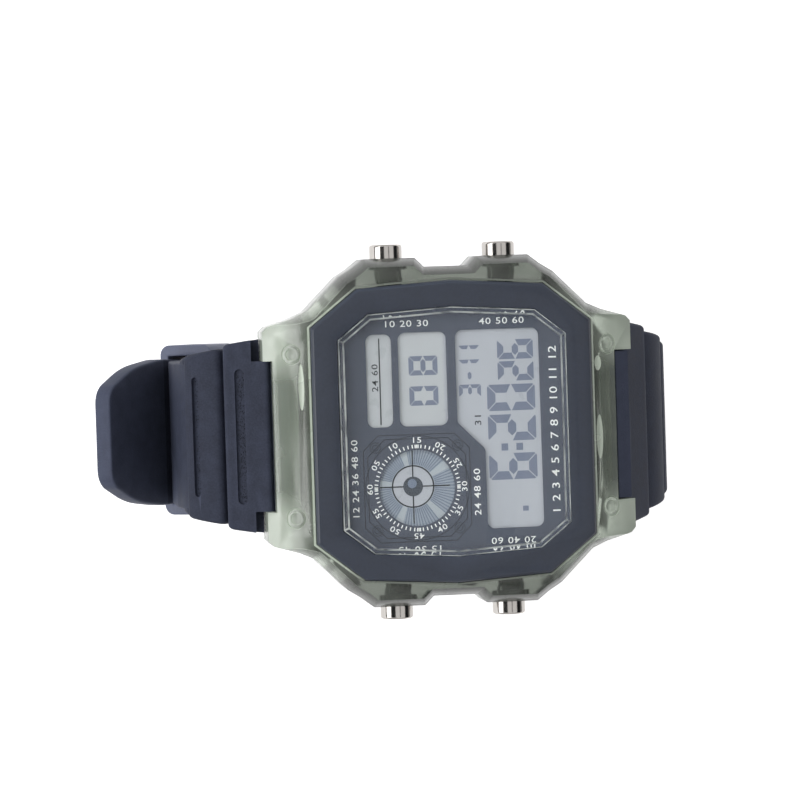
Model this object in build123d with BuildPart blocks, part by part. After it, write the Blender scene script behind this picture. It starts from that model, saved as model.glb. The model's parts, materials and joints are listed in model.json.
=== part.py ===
from build123d import *
from math import cos, degrees, radians, sin, sqrt, tan
import os

# Digital watch, buckled into a loop, dial up
# Millimetres. +Z leaves the dial, -X is 12 o'clock, +Y is 3 o'clock.
# The origin is the centre of the case back's outer face.

# Shared clearances and overruns
fit_gap = 0.02
running_gap = 0.05
slip_gap = 0.1
free_gap = 0.3
overrun = 0.5

# Glass outline, one quarter: the long sides arch out slightly, the corners are cut
glass_half_x = 13.8
glass_half_y = 15.0
glass_arch = 0.65
glass_corner_x = 10.1
glass_corner_y = 11.4

# Heights above the case back's outer face
case_back_thickness = 1.0
shell_base_bevel = 0.8
shell_wall_height = 7.2
shell_crown_height = 2.3
shell_crown_inset = 1.0
dial_height = 9.0
ledge_thickness = 0.6
dial_thickness = 0.4
flange_thickness = 0.8
crystal_thickness = 3.1
crystal_bevel = 0.6
bezel_thickness = 1.9

# Growth of the glass outline for each piece around it
flange_width = 0.5
gasket_width = 0.6
bezel_band = 3.2
bezel_bevel = 0.35

# Case plan, distances beyond the bezel plate's half sizes
hood_reach = 4.4
ear_reach = 5.5
ear_half_width = 12.6
ear_corner = 0.6
flank_reach = 1.8
flank_y = 14.1
waist_y = 14.9
shoulder_x = 13.0
shoulder_reach = 0.7
boss_foot_x = 11.4
boss_foot_reach = 1.7
boss_face_reach = 2.8
boss_half_width = 3.1
boss_flank = 1.1
end_slope = 28.0
ear_floor_rise = 0.9
hood_floor_height = 7.0
hood_slot_reach = 0.8
ring_mark_inset = 2.25
ring_mark_radius = 1.25
ring_mark_inner_radius = 0.72
ring_mark_line = 0.15
ring_mark_depth = 0.15
ring_mark_y = 9.85

# Cavity and module
shell_end_wall = 1.6
shell_side_wall = 3.2
cavity_corner = 4.4
module_gap = 0.3
module_height = 6.8
module_rim_y = 2.4
lcd_margin_x = 3.8
lcd_margin_y = 2.5
lcd_thickness = 1.6
lcd_corner = 0.6
board_margin_x = 2.9
board_margin_y = 3.0
board_thickness = 0.8
board_height = 4.4
battery_radius = 10.0
battery_thickness = 2.5
battery_step = 0.4
clip_thickness = 0.25
clip_width = 5.0
buzzer_radius = 12.6
buzzer_thickness = 0.25
buzzer_spring_radius = 0.8
buzzer_spring_wire = 0.3
buzzer_spring_turns = 4
buzzer_spring_place = 8.4
chip_radius = 3.0
chip_height = 1.1
chip_x = 3.0
led_length = 1.6
led_width = 0.9
led_height = 1.0
led_x = 8.8
reflector_thickness = 0.3
reflector_half_x = 9.6
reflector_half_y = 9.4
quartz_radius = 1.0
quartz_length = 6.0
quartz_inset_x = 3.7
quartz_inset_y = 1.6
zebra_width = 1.6
zebra_inset = 0.9
zebra_end_inset = 3.1
back_gasket_inset = 0.35
back_gasket_width = 0.65
back_gasket_height = 0.6

# Case back and its screws
case_back_edge_x = 2.2
case_back_edge_y = 2.1
case_back_corner_edge = 0.1
case_back_edge = 0.3
screw_shift = 0.55
screw_head_radius = 1.4
screw_radius = 0.6
screw_head_depth = 0.8
screw_length = 4.2
screw_slot_width = 0.4
screw_slot_depth = 0.3

# Dial windows
time_window_left = 0.6
time_window_right = 10.75
time_window_low = 11.85
time_window_high = 12.0
time_window_step = 3.9
time_window_step_y = 2.3
day_window_x = -3.4
day_window_y = 6.3
day_window_length = 5.85
day_window_width = 11.2
bar_window_x = -8.65
bar_window_y = 6.24
bar_window_length = 3.1
bar_window_width = 11.1
window_corner = 0.9
sub_dial_x = -4.44
sub_dial_y = -6.66
sub_dial_radius = 4.55

# Pushers
pusher_x = 6.9
pusher_height = 5.9
pusher_cap_radius = 2.0
pusher_cap_length = 2.4
pusher_proud = 1.7
pusher_travel = 0.8
pusher_cap_bevel = 0.3
cap_pocket_radius = 2.2
stem_radius = 0.66
stem_bore_radius = 0.75
stem_reach = 0.9
clip_radius = 1.2
clip_groove_radius = 0.42
clip_ring_thickness = 0.3
seal_radius = 0.72
seal_groove_radius = 0.4
seal_width = 0.6
seal_depth = 1.5
spring_pocket_radius = 1.6
spring_wall = 2.4
spring_coil_radius = 1.15
spring_wire = 0.25
spring_turns = 4
contact_gap = 0.2
contact_thickness = 0.2
contact_half_width = 1.2
contact_rise = 1.8
contact_foot = 1.8
contact_notch_half = 1.7
contact_notch_reach = 4.0

# Spring bars in the ears
bar_x = 20.0
bar_z = 4.6
spring_bar_radius = 0.75
spring_bar_tip_radius = 0.42
spring_bar_tip_length = 0.9
eye_radius = 1.9

# Strap band, seen from the 3 o'clock side
strap_thickness = 2.2
strap_half_width = 9.0
layer_gap = 0.2
long_drop_angle = 55.0
long_drop_length = 11.2
long_side_radius = 13.3
long_bottom_radius = 23.3
bottom_slope = 6.5
fold_radius = 14.0
tail_lean = 36.0
tail_straight = 11.0
tail_reach = 28.4
tail_belly_swell = 0.3
tail_belly_place = 16.0
tail_shoulder_inset = 0.5
tail_shoulder_place = 22.5
tail_tip_inset = 3.15
tail_tip_corner = 3.2
short_side_x = 31.0
short_first_angle = 28.0
short_first_length = 6.2
short_second_angle = 42.0
short_second_length = 5.5
short_side_z = -7.5
short_bend_run = 8.62
short_bend_radius = 9.0
short_corner_radii = (8.0, 6.0, 8.0)
short_end_run = 2.2
short_block_start = 0.6

# Raised blocks near the case: length, overhang beyond the band's edge, height above its middle
block_lengths = (4.4, 5.4, 4.4)
block_near_overhangs = (3.0, 1.75, 0.85)
block_far_overhangs = (2.2, 0.9, 0.45)
block_rises = (2.6, 2.1, 1.65)
long_block_swells = (0.6, 0.5, 0)
block_corner = 1.2
block_edge = 0.45
block_root = 0.6
block_shoulder_gap = 0.3
ear_clear_length = 7.0
block_slot_insets = (0.8, 1.7)
block_slot_width = 1.25
block_slot_inset = 1.6
block_slot_depth = 0.4

# Holes for the buckle's tongue
hole_half_width = 1.2
hole_half_length = 1.7
hole_corner = 0.5
hole_pitch = 6.5
hole_first = 13.3
holes_on_straight = 2
holes_on_bend = 3

# Buckle
buckle_bar_radius = 0.75
buckle_eye_radius = 1.45
buckle_eye_rise = 0.45
buckle_arm_width = 2.2
buckle_side_gap = 0.4
buckle_hub_radius = 1.7
crossbar_radius = 1.1
crossbar_gap = 0.15
crossbar_reach = 11.4
tongue_half_width = 1.0
tongue_thickness = 0.9
tongue_hub_radius = 1.4
tongue_slot_half_width = 1.4
tongue_slot_radius = 2.4
tongue_tip_reach = 1.2
tongue_lead = 0.9
tongue_ramp = 0.6
tongue_lift = 0.62
crossbar_notch_half_width = 1.3
crossbar_notch_depth = 1.15

# Keeper
keeper_bend_gap = 1.49
keeper_length = 6.5
keeper_wall = 1.4
keeper_cover = 1.2
keeper_gap = 0.35
keeper_side_gap = 0.5
keeper_corner = 1.3

# Derived heights
shell_base = case_back_thickness
shell_top = shell_base + shell_base_bevel + shell_wall_height + shell_crown_height
crystal_base = dial_height + dial_thickness
bezel_base = crystal_base + flange_thickness
ledge_base = dial_height - ledge_thickness
lcd_base = dial_height - lcd_thickness
board_top = board_height + board_thickness

# Derived plan sizes
bezel_half_x = glass_half_x + bezel_band
bezel_half_y = glass_half_y + bezel_band
cavity_half_x = bezel_half_x - shell_end_wall
cavity_half_y = bezel_half_y - shell_side_wall
lcd_half_x = cavity_half_x - lcd_margin_x
lcd_half_y = cavity_half_y - lcd_margin_y
module_window_half_x = lcd_half_x
module_window_half_y = cavity_half_y - board_margin_y - module_rim_y
board_half_x = cavity_half_x - board_margin_x
board_half_y = cavity_half_y - board_margin_y
quartz_x = board_half_x - quartz_inset_x
quartz_y = board_half_y - quartz_inset_y
zebra_x = lcd_half_x - zebra_inset
zebra_half_length = lcd_half_y - zebra_end_inset
contact_notch_y = cavity_half_y - contact_notch_reach
hood_edge = bezel_half_x + hood_reach
ear_end = bezel_half_x + ear_reach
boss_face = bezel_half_y + boss_face_reach
ear_slot_half = strap_half_width + slip_gap
strap_half = strap_thickness / 2
layer_pitch = strap_thickness + layer_gap
tail_belly_half_width = strap_half_width + tail_belly_swell
tail_shoulder_half_width = strap_half_width - tail_shoulder_inset
tail_tip_half_width = strap_half_width - tail_tip_inset

# The case back's screws stand beyond its gasket, past the cavity's cut corners
screw_wall = (back_gasket_inset + back_gasket_width + free_gap + screw_radius) / sqrt(2)
screw_x = cavity_half_x - cavity_corner / 2 - screw_shift + screw_wall
screw_y = cavity_half_y - cavity_corner / 2 + screw_shift + screw_wall
case_back_half_x = screw_x + screw_head_radius + case_back_edge_x
case_back_half_y = screw_y + screw_head_radius + case_back_edge_y
head_to_corner = (screw_head_radius + case_back_corner_edge) * sqrt(2)
case_back_corner = case_back_half_x + case_back_half_y - screw_x - screw_y - head_to_corner

# The fold's end stands under the short half's side, and the flat run reaches it
fold_end_x = short_bend_run - short_side_x - layer_pitch * cos(radians(tail_lean))
fold_span = fold_radius * (sin(radians(bottom_slope)) + cos(radians(tail_lean)))


def mirrored_ring(quarter):
    """Close a quarter outline, given from the +X axis to the +Y axis, over both axes"""
    upper = quarter + [(-x, y) for x, y in reversed(quarter)]
    lower = [(x, -y) for x, y in reversed(upper)]
    ring = []
    for point in upper + lower:
        if not ring or point != ring[-1]:
            ring.append(point)
    return ring


def glass_octagon(height, grow):
    """Sketch the glass outline at a height, grown outwards by a distance"""
    quarter = [
        (glass_half_x, glass_corner_y),
        (glass_corner_x, glass_half_y - glass_arch),
        (0, glass_half_y),
    ]
    with BuildSketch(Plane.XY.offset(height)) as shape:
        with BuildLine():
            Polyline(*mirrored_ring(quarter), close=True)
        make_face()
        if grow:
            offset(amount=grow, kind=Kind.INTERSECTION)
    return shape.sketch


def cut_rectangle(height, half_x, half_y, corner):
    """Sketch a rectangle with cut corners at a height"""
    with BuildSketch(Plane.XY.offset(height)) as shape:
        Rectangle(2 * half_x, 2 * half_y)
        chamfer(shape.vertices(), length=corner)
    return shape.sketch


def back_gasket_ring():
    """Sketch the flat ring of the case back's gasket, around the cavity"""
    with BuildSketch(Plane.XY.offset(shell_base)) as cavity:
        Rectangle(2 * cavity_half_x, 2 * cavity_half_y)
        chamfer(cavity.vertices(), length=cavity_corner)
    with BuildSketch(Plane.XY.offset(shell_base)) as ring:
        grow = back_gasket_inset + back_gasket_width
        offset(cavity.sketch, amount=grow, kind=Kind.INTERSECTION, mode=Mode.ADD)
        offset(cavity.sketch, amount=back_gasket_inset, kind=Kind.INTERSECTION, mode=Mode.SUBTRACT)
    return ring.sketch


def case_outline(height):
    """Sketch the case's plan at a height, with its ears and its four pusher bosses"""
    quarter = [
        (hood_edge, ear_slot_half),
        (ear_end, ear_slot_half),
        (ear_end, ear_half_width),
        (ear_end - ear_corner, ear_half_width + ear_corner),
        (bezel_half_x + flank_reach, flank_y),
        (bezel_half_x, waist_y),
        (shoulder_x, bezel_half_y + shoulder_reach),
        (boss_foot_x, bezel_half_y + boss_foot_reach),
        (pusher_x + boss_half_width, boss_face),
        (pusher_x - boss_half_width, boss_face),
        (pusher_x - boss_half_width - boss_flank, bezel_half_y + boss_foot_reach),
    ]
    with BuildSketch(Plane.XY.offset(height)) as shape:
        with BuildLine():
            Polyline(*mirrored_ring(quarter), close=True)
        make_face()
    return shape.sketch


def pusher_plane(side_x, side_y, reach):
    """A plane across a pusher's axis, facing outwards, at a distance from the middle"""
    return Plane(
        origin=(side_x * pusher_x, side_y * reach, pusher_height),
        x_dir=(1, 0, 0),
        z_dir=(0, side_y, 0),
    )


def pusher_disc(side_x, side_y, reach, radius, depth, mode=Mode.ADD):
    """Extrude a disc outwards along a pusher's axis"""
    with BuildSketch(pusher_plane(side_x, side_y, reach)) as disc:
        Circle(radius)
    extrude(disc.sketch, amount=depth, mode=mode)


corners = [(1, 1), (-1, 1), (-1, -1), (1, -1)]
pusher_names = ["2", "10", "4", "8"]
pusher_corners = [(-1, 1), (-1, -1), (1, 1), (1, -1)]
os.makedirs("parts", exist_ok=True)

# Pusher stations, as distances from the middle along Y
cap_outer = boss_face + pusher_proud
cap_inner = cap_outer - pusher_cap_length
cap_floor = cap_inner - pusher_travel - slip_gap
spring_floor = cavity_half_y + spring_wall
stem_end = cavity_half_y - stem_reach

# Case shell
with BuildPart() as case_shell:
    extrude(case_outline(shell_base), amount=shell_top - shell_base)
    crown_edges = case_shell.faces().sort_by(Axis.Z)[-1].edges()
    crown_face = case_shell.faces().sort_by(Axis.Z)[-1]
    chamfer(crown_edges, length=shell_crown_inset, length2=shell_crown_height, reference=crown_face)
    chamfer(case_shell.faces().sort_by(Axis.Z)[0].edges(), length=shell_base_bevel)
    # The two ends slope down from the bezel plate to the ears
    slope_drop = (ear_end + overrun - bezel_half_x) * tan(radians(end_slope))
    with BuildSketch(Plane.XZ):
        for side in (1, -1):
            with BuildLine():
                Polyline(
                    (side * (bezel_half_x + slip_gap), shell_top + overrun),
                    (side * (bezel_half_x + slip_gap), shell_top),
                    (side * (ear_end + overrun), shell_top - slope_drop),
                    (side * (ear_end + overrun), shell_top + overrun),
                    close=True,
                )
            make_face()
    extrude(amount=boss_face + overrun, both=True, mode=Mode.SUBTRACT)
    # The ears' undersides rise towards their ends
    with BuildSketch(Plane.XZ):
        for side in (1, -1):
            with BuildLine():
                Polyline(
                    (side * (case_back_half_x + slip_gap), shell_base - overrun),
                    (side * (case_back_half_x + slip_gap), shell_base),
                    (side * (ear_end + overrun), shell_base + 2 * ear_floor_rise),
                    (side * (ear_end + overrun), shell_base - overrun),
                    close=True,
                )
            make_face()
    extrude(amount=boss_face + overrun, both=True, mode=Mode.SUBTRACT)
    # Slots under the hoods for the strap's ends
    with BuildSketch(Plane.XY.offset(shell_base - overrun)):
        for side in (1, -1):
            slot_inner = bezel_half_x + hood_slot_reach
            slot_length = ear_end + overrun - slot_inner
            with Locations((side * (slot_inner + slot_length / 2), 0)):
                Rectangle(slot_length, 2 * ear_slot_half)
    extrude(amount=hood_floor_height - shell_base + overrun, mode=Mode.SUBTRACT)
    # Module cavity, dial ledge, flange pocket and bezel pocket
    cavity = cut_rectangle(shell_base - overrun, cavity_half_x, cavity_half_y, cavity_corner)
    extrude(cavity, amount=ledge_base - shell_base + overrun, mode=Mode.SUBTRACT)
    with BuildSketch(Plane.XY.offset(ledge_base - overrun)):
        Rectangle(2 * (lcd_half_x + free_gap), 2 * (lcd_half_y + free_gap))
    extrude(amount=ledge_thickness + 2 * overrun, mode=Mode.SUBTRACT)
    flange_pocket = glass_octagon(dial_height, flange_width + gasket_width)
    extrude(flange_pocket, amount=shell_top - dial_height + overrun, mode=Mode.SUBTRACT)
    bezel_pocket = glass_octagon(bezel_base, bezel_band + slip_gap)
    extrude(bezel_pocket, amount=shell_top - bezel_base + overrun, mode=Mode.SUBTRACT)
    # Groove for the back gasket
    extrude(back_gasket_ring(), amount=back_gasket_height, mode=Mode.SUBTRACT)
    # Screw holes from below
    with BuildSketch(Plane.XY.offset(shell_base - overrun)):
        for side_x, side_y in corners:
            with Locations((side_x * screw_x, side_y * screw_y)):
                Circle(screw_radius + fit_gap)
    extrude(amount=screw_length + overrun, mode=Mode.SUBTRACT)
    # Pusher bores, spring pockets and cap pockets
    for side_x, side_y in pusher_corners:
        pusher_disc(
            side_x, side_y, cavity_half_y - overrun, stem_bore_radius,
            boss_face - cavity_half_y + 2 * overrun, Mode.SUBTRACT,
        )
        pusher_disc(
            side_x, side_y, spring_floor, spring_pocket_radius, boss_face - spring_floor + overrun,
            Mode.SUBTRACT,
        )
        pusher_disc(
            side_x, side_y, cap_floor, cap_pocket_radius, boss_face - cap_floor + overrun, Mode.SUBTRACT
        )
    # Moulded ring marks on the sloped roots of the ears
    for side_x, side_y in corners:
        mark_x = bezel_half_x + ring_mark_inset
        mark_z = shell_top - (ring_mark_inset - slip_gap) * tan(radians(end_slope))
        slope_normal = (side_x * sin(radians(end_slope)), 0, cos(radians(end_slope)))
        mark_plane = Plane(
            origin=(side_x * mark_x, side_y * ring_mark_y, mark_z), x_dir=(0, 1, 0), z_dir=slope_normal
        )
        with BuildSketch(mark_plane):
            Circle(ring_mark_radius)
            Circle(ring_mark_radius - ring_mark_line, mode=Mode.SUBTRACT)
            Circle(ring_mark_inner_radius)
        extrude(amount=-ring_mark_depth, mode=Mode.SUBTRACT)
    # Spring bar holes in the ears
    with BuildSketch(Plane.XZ):
        for side in (1, -1):
            with Locations((side * bar_x, bar_z)):
                Circle(spring_bar_tip_radius + fit_gap)
    extrude(amount=ear_slot_half + spring_bar_tip_length, both=True, mode=Mode.SUBTRACT)
case_shell.part.label = "case_shell"
export_step(case_shell.part, "parts/case_shell.step")

# Bezel plate, a flat ring around the glass
with BuildPart() as bezel_plate:
    extrude(glass_octagon(bezel_base, bezel_band), amount=bezel_thickness)
    chamfer(bezel_plate.faces().sort_by(Axis.Z)[-1].edges(), length=bezel_bevel)
    extrude(glass_octagon(bezel_base, running_gap), amount=bezel_thickness, mode=Mode.SUBTRACT)
bezel_plate.part.label = "bezel_plate"
export_step(bezel_plate.part, "parts/bezel_plate.step")

# Crystal with a flange under the bezel plate
with BuildPart() as crystal:
    extrude(glass_octagon(crystal_base, flange_width), amount=flange_thickness)
    extrude(glass_octagon(bezel_base, 0), amount=crystal_thickness - flange_thickness)
    chamfer(crystal.faces().sort_by(Axis.Z)[-1].edges(), length=crystal_bevel)
crystal.part.label = "crystal"
export_step(crystal.part, "parts/crystal.step")

# Crystal gasket, around the flange
with BuildPart() as crystal_gasket:
    extrude(glass_octagon(crystal_base, flange_width + gasket_width), amount=flange_thickness)
    extrude(glass_octagon(crystal_base, flange_width), amount=flange_thickness, mode=Mode.SUBTRACT)
crystal_gasket.part.label = "crystal_gasket"
export_step(crystal_gasket.part, "parts/crystal_gasket.step")

# Dial plate with its windows
with BuildPart() as dial_plate:
    extrude(glass_octagon(dial_height, flange_width), amount=dial_thickness)
    with BuildSketch(Plane.XY.offset(dial_height)):
        with Locations((day_window_x, day_window_y)):
            RectangleRounded(day_window_length, day_window_width, window_corner)
        with Locations((bar_window_x, bar_window_y)):
            RectangleRounded(bar_window_length, bar_window_width, window_corner)
        with Locations((sub_dial_x, sub_dial_y)):
            Circle(sub_dial_radius)
    extrude(amount=dial_thickness, mode=Mode.SUBTRACT)
    with BuildSketch(Plane.XY.offset(dial_height)) as time_window:
        with BuildLine():
            Polyline(
                (time_window_left, time_window_high),
                (time_window_right, time_window_high),
                (time_window_right, -time_window_low),
                (time_window_step, -time_window_low),
                (time_window_step, -time_window_step_y),
                (time_window_left, time_window_step - time_window_left - time_window_step_y),
                close=True,
            )
        make_face()
        fillet(time_window.vertices(), radius=window_corner)
    extrude(amount=dial_thickness, mode=Mode.SUBTRACT)
dial_plate.part.label = "dial_plate"
export_step(dial_plate.part, "parts/dial_plate.step")

# LCD panel, reflector and the backlight's LED
with BuildPart() as lcd_panel:
    extrude(cut_rectangle(lcd_base, lcd_half_x, lcd_half_y, lcd_corner), amount=lcd_thickness)
lcd_panel.part.label = "lcd_panel"
export_step(lcd_panel.part, "parts/lcd_panel.step")

with BuildPart() as lcd_reflector:
    with BuildSketch(Plane.XY.offset(lcd_base - reflector_thickness)):
        Rectangle(2 * reflector_half_x, 2 * reflector_half_y)
    extrude(amount=reflector_thickness)
lcd_reflector.part.label = "lcd_reflector"
export_step(lcd_reflector.part, "parts/lcd_reflector.step")

with BuildPart() as backlight_led:
    with BuildSketch(Plane.XY.offset(board_top)):
        with Locations((-led_x, 0)):
            Rectangle(led_width, led_length)
    extrude(amount=led_height)
backlight_led.part.label = "backlight_led"
export_step(backlight_led.part, "parts/backlight_led.step")

# Zebra connectors, the two rubber strips between the board and the panel
with BuildPart() as zebra_connectors:
    with BuildSketch(Plane.XY.offset(board_top)):
        for side in (1, -1):
            with Locations((side * zebra_x, 0)):
                Rectangle(zebra_width, 2 * zebra_half_length)
    extrude(amount=lcd_base - board_top)
zebra_connectors.part.label = "zebra_connectors"
export_step(zebra_connectors.part, "parts/zebra_connectors.step")

# Circuit board with its potted chip and the quartz can
with BuildPart() as circuit_board:
    with BuildSketch(Plane.XY.offset(board_height)):
        Rectangle(2 * board_half_x, 2 * board_half_y)
    extrude(amount=board_thickness)
circuit_board.part.label = "circuit_board"
export_step(circuit_board.part, "parts/circuit_board.step")

with BuildPart() as chip:
    with BuildSketch(Plane.XY.offset(board_top)):
        with Locations((chip_x, 0)):
            Circle(chip_radius)
    extrude(amount=chip_height)
    fillet(chip.faces().sort_by(Axis.Z)[-1].edges(), radius=chip_height - running_gap)
chip.part.label = "chip"
export_step(chip.part, "parts/chip.step")

with BuildPart() as quartz_can:
    with BuildSketch(Plane.YZ.offset(-quartz_x - quartz_length / 2)):
        with Locations((quartz_y, board_height - quartz_radius)):
            Circle(quartz_radius)
    extrude(amount=quartz_length)
quartz_can.part.label = "quartz_can"
export_step(quartz_can.part, "parts/quartz_can.step")

# Module frame, open above for the panel and below for the board and the cell
module_base = ledge_base - slip_gap - module_height
with BuildPart() as module_frame:
    outer = cut_rectangle(
        module_base, cavity_half_x - module_gap, cavity_half_y - module_gap, cavity_corner
    )
    extrude(outer, amount=module_height)
    with BuildSketch(Plane.XY.offset(lcd_base)):
        Rectangle(2 * (lcd_half_x + slip_gap), 2 * (lcd_half_y + slip_gap))
    extrude(amount=lcd_thickness, mode=Mode.SUBTRACT)
    with BuildSketch(Plane.XY.offset(module_base)):
        Rectangle(2 * (board_half_x + slip_gap), 2 * (board_half_y + slip_gap))
    extrude(amount=board_top - module_base, mode=Mode.SUBTRACT)
    with BuildSketch(Plane.XY.offset(board_top)):
        Rectangle(2 * module_window_half_x, 2 * module_window_half_y)
    extrude(amount=lcd_base - board_top, mode=Mode.SUBTRACT)
    # Notches for the pushers' inner ends and their contacts
    notch_depth = cavity_half_y - contact_notch_y
    with BuildSketch(Plane.XY.offset(board_height)):
        for side_x, side_y in corners:
            with Locations((side_x * pusher_x, side_y * (contact_notch_y + notch_depth / 2))):
                Rectangle(2 * contact_notch_half, notch_depth)
    extrude(amount=lcd_base - 2 * slip_gap - board_height, mode=Mode.SUBTRACT)
module_frame.part.label = "module_frame"
export_step(module_frame.part, "parts/module_frame.step")

# Buzzer disc on the case back, battery clip and button cell above it
buzzer_top = case_back_thickness + buzzer_thickness
with BuildPart() as buzzer_disc:
    with BuildSketch(Plane.XY.offset(case_back_thickness)):
        Circle(buzzer_radius)
    extrude(amount=buzzer_thickness)
buzzer_disc.part.label = "buzzer_disc"
export_step(buzzer_disc.part, "parts/buzzer_disc.step")

clip_base = buzzer_top + slip_gap
battery_base = clip_base + clip_thickness + running_gap
clip_leg_y = battery_radius + free_gap
with BuildPart() as battery_clip:
    with BuildSketch(Plane.XY.offset(clip_base)):
        Rectangle(clip_width, 2 * (clip_leg_y + clip_thickness))
    extrude(amount=clip_thickness)
    with BuildSketch(Plane.XY.offset(clip_base)):
        for side in (1, -1):
            with Locations((0, side * (clip_leg_y + clip_thickness / 2))):
                Rectangle(clip_width, clip_thickness)
    extrude(amount=board_height - clip_base)
battery_clip.part.label = "battery_clip"
export_step(battery_clip.part, "parts/battery_clip.step")

with BuildPart() as battery_cell:
    with BuildSketch(Plane.XY.offset(battery_base)):
        Circle(battery_radius)
    extrude(amount=battery_thickness - battery_step)
    with BuildSketch(Plane.XY.offset(battery_base)):
        Circle(battery_radius - 2 * battery_step)
    extrude(amount=battery_thickness)
battery_cell.part.label = "battery_cell"
export_step(battery_cell.part, "parts/battery_cell.step")

# Buzzer spring, between the board and the buzzer disc
buzzer_spring_height = board_height - buzzer_top - buzzer_spring_wire
with BuildPart() as buzzer_spring:
    with BuildLine():
        coil = Helix(
            pitch=buzzer_spring_height / buzzer_spring_turns,
            height=buzzer_spring_height,
            radius=buzzer_spring_radius,
            center=(buzzer_spring_place, -buzzer_spring_place, buzzer_top + buzzer_spring_wire / 2),
        )
    with BuildSketch(Plane(coil @ 0, z_dir=coil % 0)):
        Circle(buzzer_spring_wire / 2)
    sweep(is_frenet=True)
buzzer_spring.part.label = "buzzer_spring"
export_step(buzzer_spring.part, "parts/buzzer_spring.step")

# Switch contacts, one bent leaf in front of each pusher
contact_outer = stem_end - pusher_travel - contact_gap
with BuildPart() as switch_contacts:
    with BuildSketch(Plane.XY.offset(board_top)):
        for side_x, side_y in corners:
            with Locations((side_x * pusher_x, side_y * (contact_outer - contact_foot / 2))):
                Rectangle(2 * contact_half_width, contact_foot)
    extrude(amount=contact_thickness)
    with BuildSketch(Plane.XY.offset(board_top)):
        for side_x, side_y in corners:
            with Locations((side_x * pusher_x, side_y * (contact_outer - contact_thickness / 2))):
                Rectangle(2 * contact_half_width, contact_thickness)
    extrude(amount=contact_rise)
switch_contacts.part.label = "switch_contacts"
export_step(switch_contacts.part, "parts/switch_contacts.step")

# Back gasket, case back and its four screws
with BuildPart() as back_gasket:
    extrude(back_gasket_ring(), amount=back_gasket_height)
back_gasket.part.label = "back_gasket"
export_step(back_gasket.part, "parts/back_gasket.step")

with BuildPart() as case_back:
    plate = cut_rectangle(0, case_back_half_x, case_back_half_y, case_back_corner)
    extrude(plate, amount=case_back_thickness)
    chamfer(case_back.faces().sort_by(Axis.Z)[0].edges(), length=case_back_edge)
    for side_x, side_y in corners:
        with BuildSketch(Plane((side_x * screw_x, side_y * screw_y, 0))):
            Circle(screw_head_radius + fit_gap)
        extrude(amount=screw_head_depth, taper=45, mode=Mode.SUBTRACT)
        with BuildSketch(Plane((side_x * screw_x, side_y * screw_y, 0))):
            Circle(screw_radius + fit_gap)
        extrude(amount=case_back_thickness, mode=Mode.SUBTRACT)
case_back.part.label = "case_back"
export_step(case_back.part, "parts/case_back.step")

with BuildPart() as back_screws:
    for side_x, side_y in corners:
        with BuildSketch(Plane((side_x * screw_x, side_y * screw_y, 0))):
            Circle(screw_head_radius)
        extrude(amount=screw_head_depth, taper=45)
        with BuildSketch(Plane((side_x * screw_x, side_y * screw_y, 0))):
            Circle(screw_radius)
        extrude(amount=screw_length)
        with BuildSketch(Plane((side_x * screw_x, side_y * screw_y, 0))):
            Rectangle(2 * screw_head_radius, screw_slot_width)
        extrude(amount=screw_slot_depth, mode=Mode.SUBTRACT)
back_screws.part.label = "back_screws"
export_step(back_screws.part, "parts/back_screws.step")

# Pushers, each with its seal ring, retaining clip and return spring
clip_inner = cavity_half_y - slip_gap - clip_ring_thickness
seal_inner = cavity_half_y + seal_depth
for name, (side_x, side_y) in zip(pusher_names, pusher_corners):
    with BuildPart() as pusher:
        pusher_disc(side_x, side_y, cap_inner, pusher_cap_radius, pusher_cap_length)
        cap_face = pusher.faces().sort_by(Axis.Y)[-1 if side_y > 0 else 0]
        fillet(cap_face.edges(), radius=pusher_cap_bevel)
        pusher_disc(side_x, side_y, stem_end, stem_radius, clip_inner - stem_end)
        pusher_disc(side_x, side_y, clip_inner, clip_groove_radius, clip_ring_thickness)
        clip_outer = clip_inner + clip_ring_thickness
        pusher_disc(side_x, side_y, clip_outer, stem_radius, seal_inner - clip_outer)
        pusher_disc(side_x, side_y, seal_inner, seal_groove_radius, seal_width)
        seal_outer = seal_inner + seal_width
        pusher_disc(side_x, side_y, seal_outer, stem_radius, cap_inner - seal_outer)
    pusher.part.label = f"pusher_{name}"
    export_step(pusher.part, f"parts/pusher_{name}.step")

    with BuildPart() as pusher_seal:
        pusher_disc(side_x, side_y, seal_inner, seal_radius, seal_width)
        pusher_disc(side_x, side_y, seal_inner, seal_groove_radius, seal_width, Mode.SUBTRACT)
    pusher_seal.part.label = f"pusher_seal_{name}"
    export_step(pusher_seal.part, f"parts/pusher_seal_{name}.step")

    with BuildPart() as pusher_clip:
        pusher_disc(side_x, side_y, clip_inner, clip_radius, clip_ring_thickness)
        with BuildSketch(pusher_plane(side_x, side_y, clip_inner)):
            Circle(clip_groove_radius)
            with Locations((0, clip_radius / 2)):
                Rectangle(2 * clip_groove_radius, clip_radius)
        extrude(amount=clip_ring_thickness, mode=Mode.SUBTRACT)
    pusher_clip.part.label = f"pusher_clip_{name}"
    export_step(pusher_clip.part, f"parts/pusher_clip_{name}.step")

    spring_length = cap_inner - spring_floor - spring_wire
    with BuildPart() as pusher_spring:
        with BuildLine():
            coil = Helix(
                pitch=spring_length / spring_turns,
                height=spring_length,
                radius=spring_coil_radius,
                center=(side_x * pusher_x, side_y * (spring_floor + spring_wire / 2), pusher_height),
                direction=(0, side_y, 0),
            )
        with BuildSketch(Plane(coil @ 0, z_dir=coil % 0)):
            Circle(spring_wire / 2)
        sweep(is_frenet=True)
    pusher_spring.part.label = f"pusher_spring_{name}"
    export_step(pusher_spring.part, f"parts/pusher_spring_{name}.step")

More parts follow.
